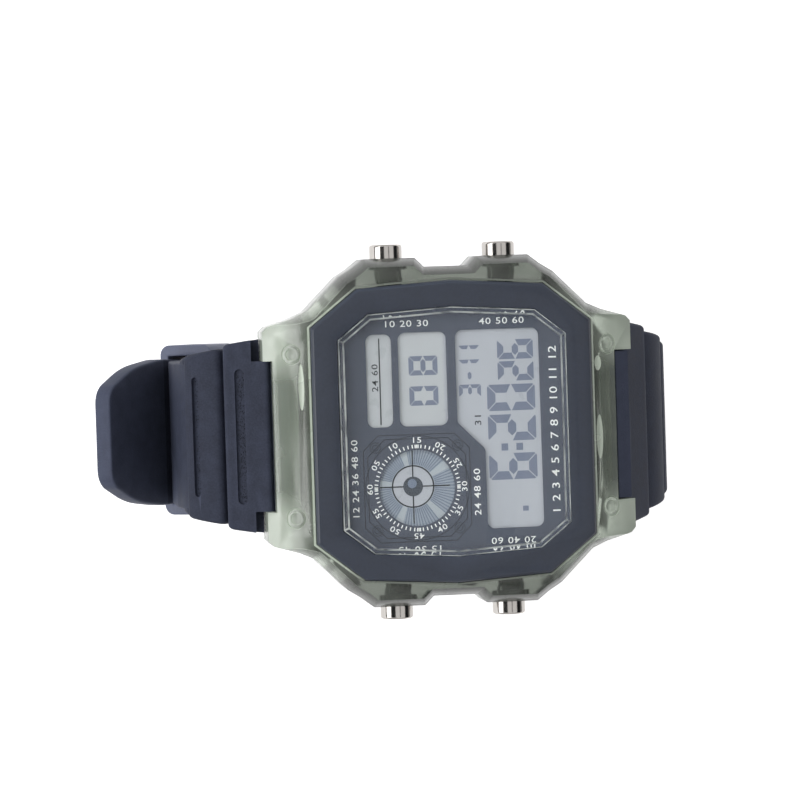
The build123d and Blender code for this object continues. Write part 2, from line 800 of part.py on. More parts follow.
# Spring bars in the ears
for name, side in (("12", -1), ("6", 1)):
    with BuildPart() as spring_bar:
        with BuildSketch(Plane.XZ):
            with Locations((side * bar_x, bar_z)):
                Circle(spring_bar_radius)
        extrude(amount=ear_slot_half - slip_gap, both=True)
        with BuildSketch(Plane.XZ):
            with Locations((side * bar_x, bar_z)):
                Circle(spring_bar_tip_radius)
        extrude(amount=ear_slot_half + spring_bar_tip_length - slip_gap, both=True)
    spring_bar.part.label = f"spring_bar_{name}"
    export_step(spring_bar.part, f"parts/spring_bar_{name}.step")


def turned(angle):
    """A unit step in the side view at an angle from +X towards +Z"""
    return Vector(cos(radians(angle)), sin(radians(angle)))


def in_space(point):
    """A side view point as a point of the middle plane"""
    return (point.X, 0, point.Y)


def band_plane(point, forward, outward):
    """A plane on the band's middle line, facing out of the loop"""
    return Plane(origin=in_space(point), x_dir=in_space(forward), z_dir=in_space(outward))


def strap_block(point, forward, outward, start, length, index, swell=0, slotted=False):
    """One raised block, from a start along a straight run of the band, wider by a swell"""
    rise = block_rises[index]
    far_end = start + length
    plane = band_plane(point, forward, outward)
    near_half = strap_half_width + block_near_overhangs[index] + swell
    far_half = strap_half_width + block_far_overhangs[index] + swell
    with BuildPart() as block:
        with BuildSketch(plane.offset(-block_root)) as plan:
            with BuildLine():
                Polyline(
                    (start, near_half), (far_end, far_half), (far_end, -far_half), (start, -near_half),
                    close=True,
                )
            make_face()
            fillet(plan.vertices().sort_by(Axis.X)[-2:], radius=block_corner)
        extrude(amount=block_root + rise)
        top = block.faces().sort_by(lambda face: (face.center() - plane.origin).dot(plane.z_dir))[-1]
        near_first = top.edges().sort_by(lambda edge: (edge.center() - plane.origin).dot(plane.x_dir))
        fillet(near_first[1:], radius=block_edge)
        if slotted:
            with BuildSketch(plane.offset(rise)):
                with Locations((far_end - block_slot_inset - block_slot_width / 2, 0)):
                    slot_length = 2 * (strap_half_width - block_slot_insets[index])
                    SlotOverall(slot_length, block_slot_width, rotation=90)
            extrude(amount=-block_slot_depth, mode=Mode.SUBTRACT)
    return block.part


def shoulder_run(forward, outward):
    """How far along the first run the first block's top clears the ear's end"""
    top_offset = abs(block_rises[0] * outward.X)
    return (ear_end + block_shoulder_gap - bar_x - top_offset) / abs(forward.X)


# Middle line of the long half, from the 6 o'clock spring bar round to the tail
long_start = Vector(bar_x, bar_z)
with BuildLine() as long_path:
    drop = Line(long_start, long_start + turned(-long_drop_angle) * long_drop_length)
    side_bend = JernArc(drop @ 1, drop % 1, long_side_radius, long_drop_angle - 90)
    bottom_bend = JernArc(side_bend @ 1, side_bend % 1, long_bottom_radius, bottom_slope - 90)
    flat_length = ((bottom_bend @ 1).X - fold_end_x - fold_span) / cos(radians(bottom_slope))
    flat = Line(bottom_bend @ 1, (bottom_bend @ 1) + (bottom_bend % 1) * flat_length)
    fold = JernArc(flat @ 1, flat % 1, fold_radius, tail_lean - 90 - bottom_slope)
    tail_line = Line(fold @ 1, (fold @ 1) + (fold % 1) * tail_straight)

# Middle line of the short half, which lies inside the tail and ends at the buckle's bar
tail_forward = turned(90 + tail_lean)
tail_inward = turned(tail_lean)
inner_turn = (fold @ 1) + tail_inward * layer_pitch
short_start = Vector(-bar_x, bar_z)
first_corner = short_start + turned(180 + short_first_angle) * short_first_length
second_corner = first_corner + turned(180 + short_second_angle) * short_second_length
side_corner = Vector(-short_side_x, short_side_z)
bend_rise = short_bend_run / sin(radians(tail_lean))
bend_corner = inner_turn + tail_forward * bend_rise
with BuildLine() as short_path:
    upper = FilletPolyline(
        short_start, first_corner, second_corner, side_corner, bend_corner, inner_turn,
        radius=(*short_corner_radii, short_bend_radius),
    )
    inner_fold = JernArc(
        inner_turn, tail_forward * -1, fold_radius - layer_pitch, 90 + bottom_slope - tail_lean
    )
    short_end = Line(inner_fold @ 1, (inner_fold @ 1) + (inner_fold % 1) * short_end_run)
bottom_forward = turned(bottom_slope)
bottom_inward = turned(bottom_slope + 90)
buckle_pin = (short_end @ 1) + bottom_inward * buckle_eye_rise

# Long half of the strap, with its blocks, tail and adjustment holes
long_forward = turned(-long_drop_angle)
long_outward = turned(90 - long_drop_angle)
shoulder = shoulder_run(long_forward, long_outward)
long_blocks = [
    strap_block(
        long_start, long_forward, long_outward, 0, shoulder + block_lengths[0], 0, long_block_swells[0]
    ),
    strap_block(
        long_start, long_forward, long_outward, shoulder + block_lengths[0], block_lengths[1], 1,
        long_block_swells[1],
    ),
]
third_turn = degrees(block_lengths[2] / 2 / long_side_radius)
third_forward = turned(-long_drop_angle - third_turn)
third_outward = turned(90 - long_drop_angle - third_turn)
long_blocks.append(strap_block(drop @ 1, third_forward, third_outward, 0, block_lengths[2], 2))
hole_places = [(flat @ (hole_first / flat_length), flat % 0)]
for step in range(1, holes_on_straight + 1):
    hole_places.append((flat @ ((hole_first - step * hole_pitch) / flat_length), flat % 0))
spare = hole_pitch - (hole_first - holes_on_straight * hole_pitch)
for step in range(holes_on_bend):
    place = 1 - (spare + step * hole_pitch) / bottom_bend.length
    hole_places.append((bottom_bend @ place, bottom_bend % place))
with BuildPart() as strap_long:
    with BuildSketch(Plane.XZ):
        trace(long_path.line, line_width=strap_thickness)
        with Locations((bar_x, bar_z)):
            Circle(eye_radius)
    extrude(amount=strap_half_width, both=True)
    add(long_blocks)
    # The tail's plan: a slight belly, curved sides and a rounded flat tip
    tail_plane = band_plane(fold @ 1, tail_forward, tail_inward)
    with BuildSketch(tail_plane.offset(-strap_half)) as tail_plan:
        with BuildLine():
            for side in (1, -1):
                belly = (tail_belly_place, side * tail_belly_half_width)
                Line((tail_straight, side * strap_half_width), belly)
                ThreePointArc(
                    belly,
                    (tail_shoulder_place, side * tail_shoulder_half_width),
                    (tail_reach, side * tail_tip_half_width),
                )
            Line((tail_straight, strap_half_width), (tail_straight, -strap_half_width))
            Line((tail_reach, tail_tip_half_width), (tail_reach, -tail_tip_half_width))
        make_face()
        fillet(tail_plan.vertices().sort_by(Axis.X)[-2:], radius=tail_tip_corner)
    extrude(amount=strap_thickness)
    # The strap's end narrows between the ears
    for side in (1, -1):
        with BuildSketch(Plane.XZ.offset(side * strap_half_width)):
            with Locations((ear_end + block_shoulder_gap - ear_clear_length / 2, bar_z)):
                Rectangle(ear_clear_length, 2 * ear_clear_length)
        extrude(amount=side * 2 * block_near_overhangs[0], mode=Mode.SUBTRACT)
    for point, forward in hole_places:
        outward = Vector(-forward.Y, forward.X)
        with BuildSketch(band_plane(point, forward, outward).offset(-strap_thickness)):
            RectangleRounded(2 * hole_half_length, 2 * hole_half_width, hole_corner)
        extrude(amount=2 * strap_thickness, mode=Mode.SUBTRACT)
    with BuildSketch(Plane.XZ):
        with Locations((bar_x, bar_z)):
            Circle(spring_bar_radius + fit_gap)
    extrude(amount=strap_half_width, both=True, mode=Mode.SUBTRACT)
strap_long.part.label = "strap_long"
export_step(strap_long.part, "parts/strap_long.step")

# Short half of the strap, with its blocks and the eye for the buckle's bar
short_first_forward = turned(180 + short_first_angle)
short_first_outward = turned(90 + short_first_angle)
short_second_forward = turned(180 + short_second_angle)
short_second_outward = turned(90 + short_second_angle)
short_third_forward = (side_corner - second_corner).normalized()
short_third_outward = Vector(short_third_forward.Y, -short_third_forward.X)
shoulder = shoulder_run(short_first_forward, short_first_outward)
short_blocks = [
    strap_block(
        short_start, short_first_forward, short_first_outward, short_block_start,
        shoulder + block_lengths[0] - short_block_start, 0, slotted=True,
    ),
    strap_block(
        first_corner, short_second_forward, short_second_outward, 0, block_lengths[1], 1, slotted=True
    ),
    strap_block(second_corner, short_third_forward, short_third_outward, 0, block_lengths[2], 2),
]
with BuildPart() as strap_short:
    with BuildSketch(Plane.XZ):
        trace(short_path.line, line_width=strap_thickness)
        with Locations((-bar_x, bar_z)):
            Circle(eye_radius)
        with Locations(buckle_pin):
            Circle(buckle_eye_radius)
    extrude(amount=strap_half_width, both=True)
    add(short_blocks)
    for side in (1, -1):
        with BuildSketch(Plane.XZ.offset(side * strap_half_width)):
            with Locations((ear_clear_length / 2 - ear_end - block_shoulder_gap, bar_z)):
                Rectangle(ear_clear_length, 2 * ear_clear_length)
        extrude(amount=side * 2 * block_near_overhangs[0], mode=Mode.SUBTRACT)
    with BuildSketch(Plane.XZ):
        with Locations((-bar_x, bar_z)):
            Circle(spring_bar_radius + fit_gap)
        with Locations(buckle_pin):
            Circle(buckle_bar_radius + fit_gap)
    extrude(amount=strap_half_width, both=True, mode=Mode.SUBTRACT)
    with BuildSketch(Plane.XZ):
        with Locations(buckle_pin):
            Circle(tongue_slot_radius)
    extrude(amount=tongue_slot_half_width, both=True, mode=Mode.SUBTRACT)
strap_short.part.label = "strap_short"
export_step(strap_short.part, "parts/strap_short.step")

# Keeper loop around both layers
bend_tangent = short_bend_radius * tan(radians(tail_lean / 2))
keeper_start = bend_rise - bend_tangent - keeper_bend_gap - keeper_length
keeper_foot = (fold @ 1) + tail_forward * keeper_start
keeper_low = -strap_half - keeper_gap
keeper_high = layer_pitch + strap_half + keeper_gap
keeper_plane = Plane(origin=in_space(keeper_foot), x_dir=(0, 1, 0), z_dir=in_space(tail_forward))
keeper_side = -1 if keeper_plane.y_dir.dot(Vector(*in_space(tail_inward))) < 0 else 1
with BuildPart() as keeper_loop:
    window_half = strap_half_width + keeper_side_gap
    window_height = keeper_high - keeper_low
    with BuildSketch(keeper_plane):
        with Locations((0, keeper_side * (keeper_high + keeper_low) / 2)):
            RectangleRounded(
                2 * (window_half + keeper_wall), window_height + 2 * keeper_cover, keeper_corner
            )
            Rectangle(2 * window_half, window_height, mode=Mode.SUBTRACT)
    extrude(amount=keeper_length)
keeper_loop.part.label = "keeper_loop"
export_step(keeper_loop.part, "parts/keeper_loop.step")

# Buckle: a bar through the short half's eye, a frame and a tongue that turn on it
with BuildPart() as buckle_bar:
    with BuildSketch(Plane.XZ):
        with Locations(buckle_pin):
            Circle(buckle_bar_radius)
    extrude(amount=strap_half_width + buckle_side_gap + buckle_arm_width - slip_gap, both=True)
buckle_bar.part.label = "buckle_bar"
export_step(buckle_bar.part, "parts/buckle_bar.step")

bar_lift = layer_pitch + buckle_eye_rise
crossbar_drop = strap_half + crossbar_gap + crossbar_radius
crossbar = buckle_pin + bottom_forward * crossbar_reach - bottom_inward * (bar_lift + crossbar_drop)
arm_inner = strap_half_width + buckle_side_gap
with BuildPart() as buckle_frame:
    for side in (1, -1):
        with BuildSketch(Plane.XZ.offset(side * arm_inner)):
            with Locations(buckle_pin):
                Circle(buckle_hub_radius)
            with Locations(crossbar):
                Circle(crossbar_radius)
            make_hull()
            with Locations(buckle_pin):
                Circle(buckle_bar_radius + running_gap, mode=Mode.SUBTRACT)
        extrude(amount=side * buckle_arm_width)
    with BuildSketch(Plane.XZ):
        with Locations(crossbar):
            Circle(crossbar_radius)
    extrude(amount=arm_inner + buckle_arm_width, both=True)
    # Notch where the tongue's tip lies
    with BuildSketch(Plane.XZ):
        with Locations(crossbar - bottom_inward * crossbar_radius):
            Rectangle(4 * crossbar_radius, 2 * crossbar_notch_depth, rotation=bottom_slope)
    extrude(amount=crossbar_notch_half_width, both=True, mode=Mode.SUBTRACT)
buckle_frame.part.label = "buckle_frame"
export_step(buckle_frame.part, "parts/buckle_frame.step")

hole_reach = ((flat @ (hole_first / flat_length)) - buckle_pin).dot(bottom_forward)
tip_level = -bar_lift - crossbar_drop - tongue_thickness / 2 - slip_gap
tongue_route = [
    (0, -slip_gap),
    (hole_reach - tongue_lead, strap_half + tongue_lift - bar_lift),
    (hole_reach + tongue_lead, -strap_half - tongue_lift - bar_lift),
    (crossbar_reach - crossbar_radius - tongue_ramp, tip_level),
    (crossbar_reach + tongue_tip_reach, tip_level),
]
with BuildPart() as buckle_tongue:
    with BuildSketch(Plane.XZ):
        with BuildLine() as tongue_line:
            Polyline([buckle_pin + bottom_forward * u + bottom_inward * v for u, v in tongue_route])
        trace(tongue_line.line, line_width=tongue_thickness)
        with Locations(buckle_pin):
            Circle(tongue_hub_radius)
            Circle(buckle_bar_radius + running_gap, mode=Mode.SUBTRACT)
    extrude(amount=tongue_half_width, both=True)
buckle_tongue.part.label = "buckle_tongue"
export_step(buckle_tongue.part, "parts/buckle_tongue.step")
print("buckle pin", buckle_pin, "crossbar", crossbar, "keeper", keeper_foot, "fold", fold @ 1)
print("bottom", flat @ 0, flat @ 1, "side", side_bend @ 1, "bend corner", bend_corner)
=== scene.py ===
import json
import math

import bmesh
import bpy
from bpy.props import FloatProperty, FloatVectorProperty, IntProperty, PointerProperty
from mathutils import Matrix, Vector


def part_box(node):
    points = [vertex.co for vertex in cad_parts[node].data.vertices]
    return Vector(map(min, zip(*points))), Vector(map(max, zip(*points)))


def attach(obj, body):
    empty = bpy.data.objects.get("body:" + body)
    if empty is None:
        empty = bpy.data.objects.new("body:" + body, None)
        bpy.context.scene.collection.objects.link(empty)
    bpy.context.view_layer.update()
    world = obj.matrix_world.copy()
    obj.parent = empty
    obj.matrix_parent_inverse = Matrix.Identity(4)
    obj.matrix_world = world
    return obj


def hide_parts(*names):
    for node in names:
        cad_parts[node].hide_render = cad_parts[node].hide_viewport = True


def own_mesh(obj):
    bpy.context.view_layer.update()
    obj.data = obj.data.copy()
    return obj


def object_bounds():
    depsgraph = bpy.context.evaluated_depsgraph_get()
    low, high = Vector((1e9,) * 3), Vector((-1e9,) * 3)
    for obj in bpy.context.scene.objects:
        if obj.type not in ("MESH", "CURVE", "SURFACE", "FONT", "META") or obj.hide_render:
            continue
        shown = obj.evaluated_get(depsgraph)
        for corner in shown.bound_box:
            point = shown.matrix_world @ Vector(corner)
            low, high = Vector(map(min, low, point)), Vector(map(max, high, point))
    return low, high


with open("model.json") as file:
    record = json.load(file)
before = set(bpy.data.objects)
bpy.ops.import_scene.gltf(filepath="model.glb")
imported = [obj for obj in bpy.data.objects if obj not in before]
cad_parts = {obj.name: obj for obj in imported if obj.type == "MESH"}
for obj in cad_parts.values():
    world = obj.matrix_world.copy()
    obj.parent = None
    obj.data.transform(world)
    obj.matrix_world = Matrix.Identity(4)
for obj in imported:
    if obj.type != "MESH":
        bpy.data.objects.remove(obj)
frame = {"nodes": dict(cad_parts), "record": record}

bl_info = {
    "name": "Digital Watch",
    "version": (1, 0, 0),
    "blender": (4, 5, 0),
    "location": "View3D > Sidebar > Watch",
    "description": "Dresses the packed digital watch and sets up its stage",
    "category": "Object",
}

# The dial reads with 12 o'clock towards -X and 3 o'clock towards +Y. Helper sizes are in
# millimetres and become metres in the mesh.
MM = 0.001
CAD_LOW, CAD_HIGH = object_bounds()
DIAL_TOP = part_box("dial_plate")[1].z / MM
LCD_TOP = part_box("lcd_panel")[1].z / MM


def linear(hex_code):
    """Turn an sRGB hex colour into linear red, green and blue"""
    shares = [int(hex_code[i:i + 2], 16) / 255 for i in (1, 3, 5)]
    return tuple(c / 12.92 if c <= 0.04045 else ((c + 0.055) / 1.055) ** 2.4 for c in shares)


def length_prop(name, description, default):
    """A length that a user would change, given in millimetres"""
    return FloatProperty(
        name=name, description=description, default=default * MM, unit="LENGTH", precision=5
    )


def colour_prop(name, description, hex_code):
    """A surface colour that a user would change"""
    return FloatVectorProperty(
        name=name, description=description, default=linear(hex_code),
        subtype="COLOR", size=3, min=0, max=1,
    )


def share_prop(name, description, default):
    """A share from 0 to 1 that a user would change"""
    return FloatProperty(
        name=name, description=description, default=default, min=0, max=1, subtype="FACTOR"
    )


def level_prop(name, description, default, least=0):
    """A plain number that a user would change"""
    return FloatProperty(name=name, description=description, default=default, min=least)


def count_prop(name, description, default, least=0):
    """A whole number that a user would change"""
    return IntProperty(name=name, description=description, default=default, min=least)


class CaseSettings(bpy.types.PropertyGroup):
    """Sizes and colours of the case, its bezel plate, crystal and pushers"""
    resin_colour: colour_prop("Resin", "Tint of the clear case resin", "#c3ccbf")
    resin_cloud: share_prop("Resin haze", "How milky the resin looks, instead of clear", 0.12)
    resin_edge: length_prop("Resin edge", "Rounding of the moulded case's edges", 0.2)
    bezel_colour: colour_prop("Bezel", "Painted bezel plate", "#313744")
    bezel_edge: length_prop("Bezel edge", "Rounding of the bezel plate's edges", 0.14)
    crystal_edge: length_prop("Crystal edge", "Rounding of the crystal's edges", 0.12)
    pusher_colour: colour_prop("Pushers", "Polished pusher caps", "#b7b3af")


class DialSettings(bpy.types.PropertyGroup):
    """Sizes and colours of the dial's printing and of its displays"""
    dial_colour: colour_prop("Dial", "Lacquered dial plate", "#565a67")
    ink_colour: colour_prop("Ink", "White printing on the dial", "#f4f5f4")
    faint_colour: colour_prop("Faint lines", "Tone-on-tone lines on the dial", "#282b34")
    display_colour: colour_prop("Display", "Background of the display", "#b2b4bd")
    segment_colour: colour_prop("Segments", "Switched-on display segments", "#747b8f")
    ink_height: length_prop("Ink height", "How far the printing stands off the dial", 0.015)
    numeral_height: length_prop("Numeral height", "Height of the seconds ring's numerals", 0.68)
    tick_length: length_prop("Tick length", "Length of a seconds tick", 0.42)
    tick_width: length_prop("Tick width", "Width of a seconds tick", 0.13)
    tick_count: count_prop("Ticks", "Ticks around the seconds ring", 60, 12)


class StrapSettings(bpy.types.PropertyGroup):
    """Sizes and colours of the strap, its keeper and its buckle"""
    strap_colour: colour_prop("Strap", "Black moulded strap", "#363a48")
    inner_colour: colour_prop("Strap inside", "Rough floor of the strap's slots", "#282c37")
    thickness: length_prop("Thickness", "Thickness of the band", 2.2)
    half_width: length_prop("Half width", "Half the width of the band", 9.0)
    band_edge: length_prop("Band edge", "Rounding of the band's edges", 0.25)
    block_edge: length_prop("Block edge", "Rounding of the raised blocks", 0.55)
    grain_size: length_prop("Grain size", "Size of the grains in the blocks' slots", 0.15)
    grain_seed: count_prop("Grain seed", "Seed of the grains' scatter", 7)


class StageSettings(bpy.types.PropertyGroup):
    """Camera, lamps and floor"""
    lens: level_prop("Lens", "Focal length in millimetres", 168.75, 20)
    distance: length_prop("Distance", "From the camera to the crystal", 450)
    key_power: level_prop("Key lamp", "Power of the large lamp", 1.9)
    fill_power: level_prop("Fill lamps", "Power of each side lamp", 1.2)
    sky_light: level_prop("Sky light", "Strength of the white surroundings", 0.4)


def add_node(tree, kind, inputs=None, **settings):
    """Add a node, set its own settings, and set or link its inputs"""
    node = tree.nodes.new(kind)
    for key, value in settings.items():
        setattr(node, key, value)
    for key, value in (inputs or {}).items():
        if isinstance(value, bpy.types.NodeSocket):
            tree.links.new(value, node.inputs[key])
        else:
            node.inputs[key].default_value = value
    return node


def mapped(tree, value, start, end, low=0, high=1):
    """A value whose range from start to end is spread over low to high"""
    ranges = {"Value": value, "From Min": start, "From Max": end, "To Min": low, "To Max": high}
    return add_node(tree, "ShaderNodeMapRange", ranges).outputs[0]


def reckoned(tree, operation, first, second=0, **settings):
    """What an operation makes of two values"""
    inputs = {0: first, 1: second}
    return add_node(tree, "ShaderNodeMath", inputs, operation=operation, **settings).outputs[0]


def noise(tree, place, grain_mm, detail=2):
    """A cloudy pattern with patches of a size in millimetres"""
    inputs = {"Vector": place, "Scale": 1 / (grain_mm * MM), "Detail": detail}
    return add_node(tree, "ShaderNodeTexNoise", inputs).outputs["Fac"]


def ramped(tree, value, low, high, ends=(0, 1)):
    """A colour between two, as a value goes from one end to the other"""
    ramp = add_node(tree, "ShaderNodeValToRGB", {"Fac": value})
    for element, end, colour in zip(ramp.color_ramp.elements, ends, (low, high)):
        element.position = end
        element.color = colour
    return ramp.outputs["Color"]


def bumped(tree, height, depth_mm):
    """Relief of a depth in millimetres"""
    inputs = {"Height": height, "Strength": 1, "Distance": depth_mm * MM}
    return add_node(tree, "ShaderNodeBump", inputs).outputs[0]


def principled(tree, inputs):
    """The surface shader with its inputs"""
    return add_node(tree, "ShaderNodeBsdfPrincipled", inputs).outputs[0]


def shader_mix(tree, share, first, second):
    """Two shaders mixed by a share"""
    return add_node(tree, "ShaderNodeMixShader", {0: share, 1: first, 2: second}).outputs[0]


def rgba(colour):
    """A colour with full opacity"""
    return (*colour[:3], 1)


def shade(colour, share):
    """A colour made darker or lighter by a share"""
    return rgba([min(1, c * share) for c in colour])


def new_material(name):
    """An empty node material, its tree, and the place on the object for its patterns"""
    material = bpy.data.materials.new(name)
    material.use_nodes = True
    tree = material.node_tree
    tree.nodes.clear()
    return material, tree, add_node(tree, "ShaderNodeTexCoord").outputs["Object"]


def finish_material(material, tree, surface):
    """Link a shader to the material's output"""
    add_node(tree, "ShaderNodeOutputMaterial", {"Surface": surface})
    material.diffuse_color = (0.5, 0.5, 0.5, 1)
    return material


# The range that noise mostly keeps to
NOISE_RANGE = (0.3, 0.7)
# The size of a grain as a share of the mottle's patches
MOTTLE_SHARE = 0.12
# How pointed an edge is where its lightening, from wearing and painted sheen, begins and where it
# is full
EDGE_POINTINESS = (0.5, 0.6)


def grained(
    name, colour, roughness, spread, tone, grain_mm, bump_mm, metallic=0, coat=0, wear=0, gloss=0.5
):
    """A surface with mottled tone and roughness, a fine grain, and lighter edges, from real wearing
    and, on the bezel, a painted highlight

    grain_mm is the size of one grain. tone and spread say how far colour and roughness vary,
    and gloss is the strength of the highlights."""
    material, tree, place = new_material(name)
    fine = noise(tree, place, grain_mm, 3)
    cloud = noise(tree, place, grain_mm / MOTTLE_SHARE)
    half = reckoned(tree, "MULTIPLY", reckoned(tree, "ADD", fine, cloud), 0.5)
    base = ramped(tree, half, shade(colour, 1 - tone), shade(colour, 1 + tone), (0.35, 0.65))
    # Lighter edges: real wearing on the strap and keeper, a painted highlight on the bezel
    if wear:
        edges = add_node(tree, "ShaderNodeNewGeometry").outputs["Pointiness"]
        worn_and_sheen = mapped(tree, edges, *EDGE_POINTINESS, 0, wear)
        # Sockets 6 and 7 take the two colours, and 2 gives the mixed one
        mixed = {0: worn_and_sheen, 6: base, 7: shade(colour, 3)}
        base = add_node(tree, "ShaderNodeMix", mixed, data_type="RGBA").outputs[2]
    rough = mapped(tree, half, *NOISE_RANGE, roughness - spread, roughness + spread)
    shader = principled(tree, {
        "Base Color": base, "Roughness": rough, "Normal": bumped(tree, fine, bump_mm),
        "Metallic": metallic, "Coat Weight": coat, "Specular IOR Level": gloss,
    })
    return finish_material(material, tree, shader)


def clear_to_lamps(tree, shader, tint):
    """Let lamp light through a clear shader, so that what lies under it is lit"""
    path = add_node(tree, "ShaderNodeLightPath")
    through = add_node(tree, "ShaderNodeBsdfTransparent", {"Color": tint})
    return shader_mix(tree, path.outputs["Is Shadow Ray"], shader, through.outputs[0])


# Where the clear resin is painted darker beside the dial, as painted shade along the long sides,
# and milkier along and across the ears
SHADED_SIDES = (16 * MM, 18.2 * MM)
MILKY_ALONG, MILKY_ACROSS = (17 * MM, 20.5 * MM), (6.5 * MM, 9.5 * MM)


def clear_resin(case, name, frost, tint):
    """Clear tinted polyurethane, injection moulded: smooth, slightly cloudy, cloudier in the ears,
    with painted shade along the long sides

    frost is the extra milkiness of edges and outer walls, and tint their share of the colour: above
    1 it paints the edges lighter as a painted highlight, below 1 it paints the walls darker as
    painted shade."""
    material, tree, place = new_material(name)
    cloud = noise(tree, place, 5)
    split = add_node(tree, "ShaderNodeSeparateXYZ", {"Vector": place}).outputs
    away, aside = (reckoned(tree, "ABSOLUTE", split[axis]) for axis in ("X", "Y"))
    # Painted shade: the tone gets darker towards the long sides
    depth = mapped(tree, aside, *SHADED_SIDES, 0.1, 1)
    tone = reckoned(tree, "ADD", depth, mapped(tree, cloud, *NOISE_RANGE, 0, 0.22))
    pale, deep = (shade(case.resin_colour, share * tint) for share in (1.25, 0.36))
    along = mapped(tree, away, *MILKY_ALONG, 0, 0.6)
    ears = reckoned(tree, "MULTIPLY", along, mapped(tree, aside, *MILKY_ACROSS, 0.2, 1))
    milk = reckoned(tree, "ADD", ears, mapped(tree, cloud, 0.4, 0.65, 0, 0.1))
    clear = reckoned(tree, "SUBTRACT", 1 - case.resin_cloud - frost, milk, use_clamp=True)
    shader = principled(tree, {
        "Base Color": ramped(tree, tone, pale, deep), "IOR": 1.5, "Transmission Weight": clear,
        "Roughness": mapped(tree, cloud, *NOISE_RANGE, 0.14, 0.2 + frost / 4),
        "Normal": bumped(tree, noise(tree, place, 2.5, 1), 0.008),
    })
    surface = clear_to_lamps(tree, shader, shade(case.resin_colour, 1.15))
    return finish_material(material, tree, surface)


def clear_crystal():
    """Mineral glass, polished: clear, sharp reflections, almost no tint"""
    material, tree, place = new_material("polished_mineral_glass")
    smear = noise(tree, place, 6)
    shader = principled(tree, {
        "Base Color": rgba(linear("#f3f6f5")), "IOR": 1.5, "Transmission Weight": 1.0,
        "Roughness": mapped(tree, smear, *NOISE_RANGE, 0, 0.03),
        "Specular Tint": (0.3, 0.3, 0.3, 1),
    })
    return finish_material(material, tree, clear_to_lamps(tree, shader, (1, 1, 1, 1)))


def painted_glint_edge():
    """Painted glint: bright, frosted mineral glass on the crystal's rounded edges and edge lines,
    standing in for the light they catch
    """
    material, tree, place = new_material("glass_painted_glint")
    grit, patch = noise(tree, place, 0.4), noise(tree, place, 1.6, 3)
    shader = principled(tree, {
        "Base Color": rgba(linear("#dfe4e1")), "IOR": 1.5,
        "Roughness": mapped(tree, grit, *NOISE_RANGE, 0.3, 0.55),
        "Transmission Weight": mapped(tree, patch, 0.38, 0.62, 0.98, 0.4),
    })
    return finish_material(material, tree, clear_to_lamps(tree, shader, (0.9, 0.9, 0.9, 1)))


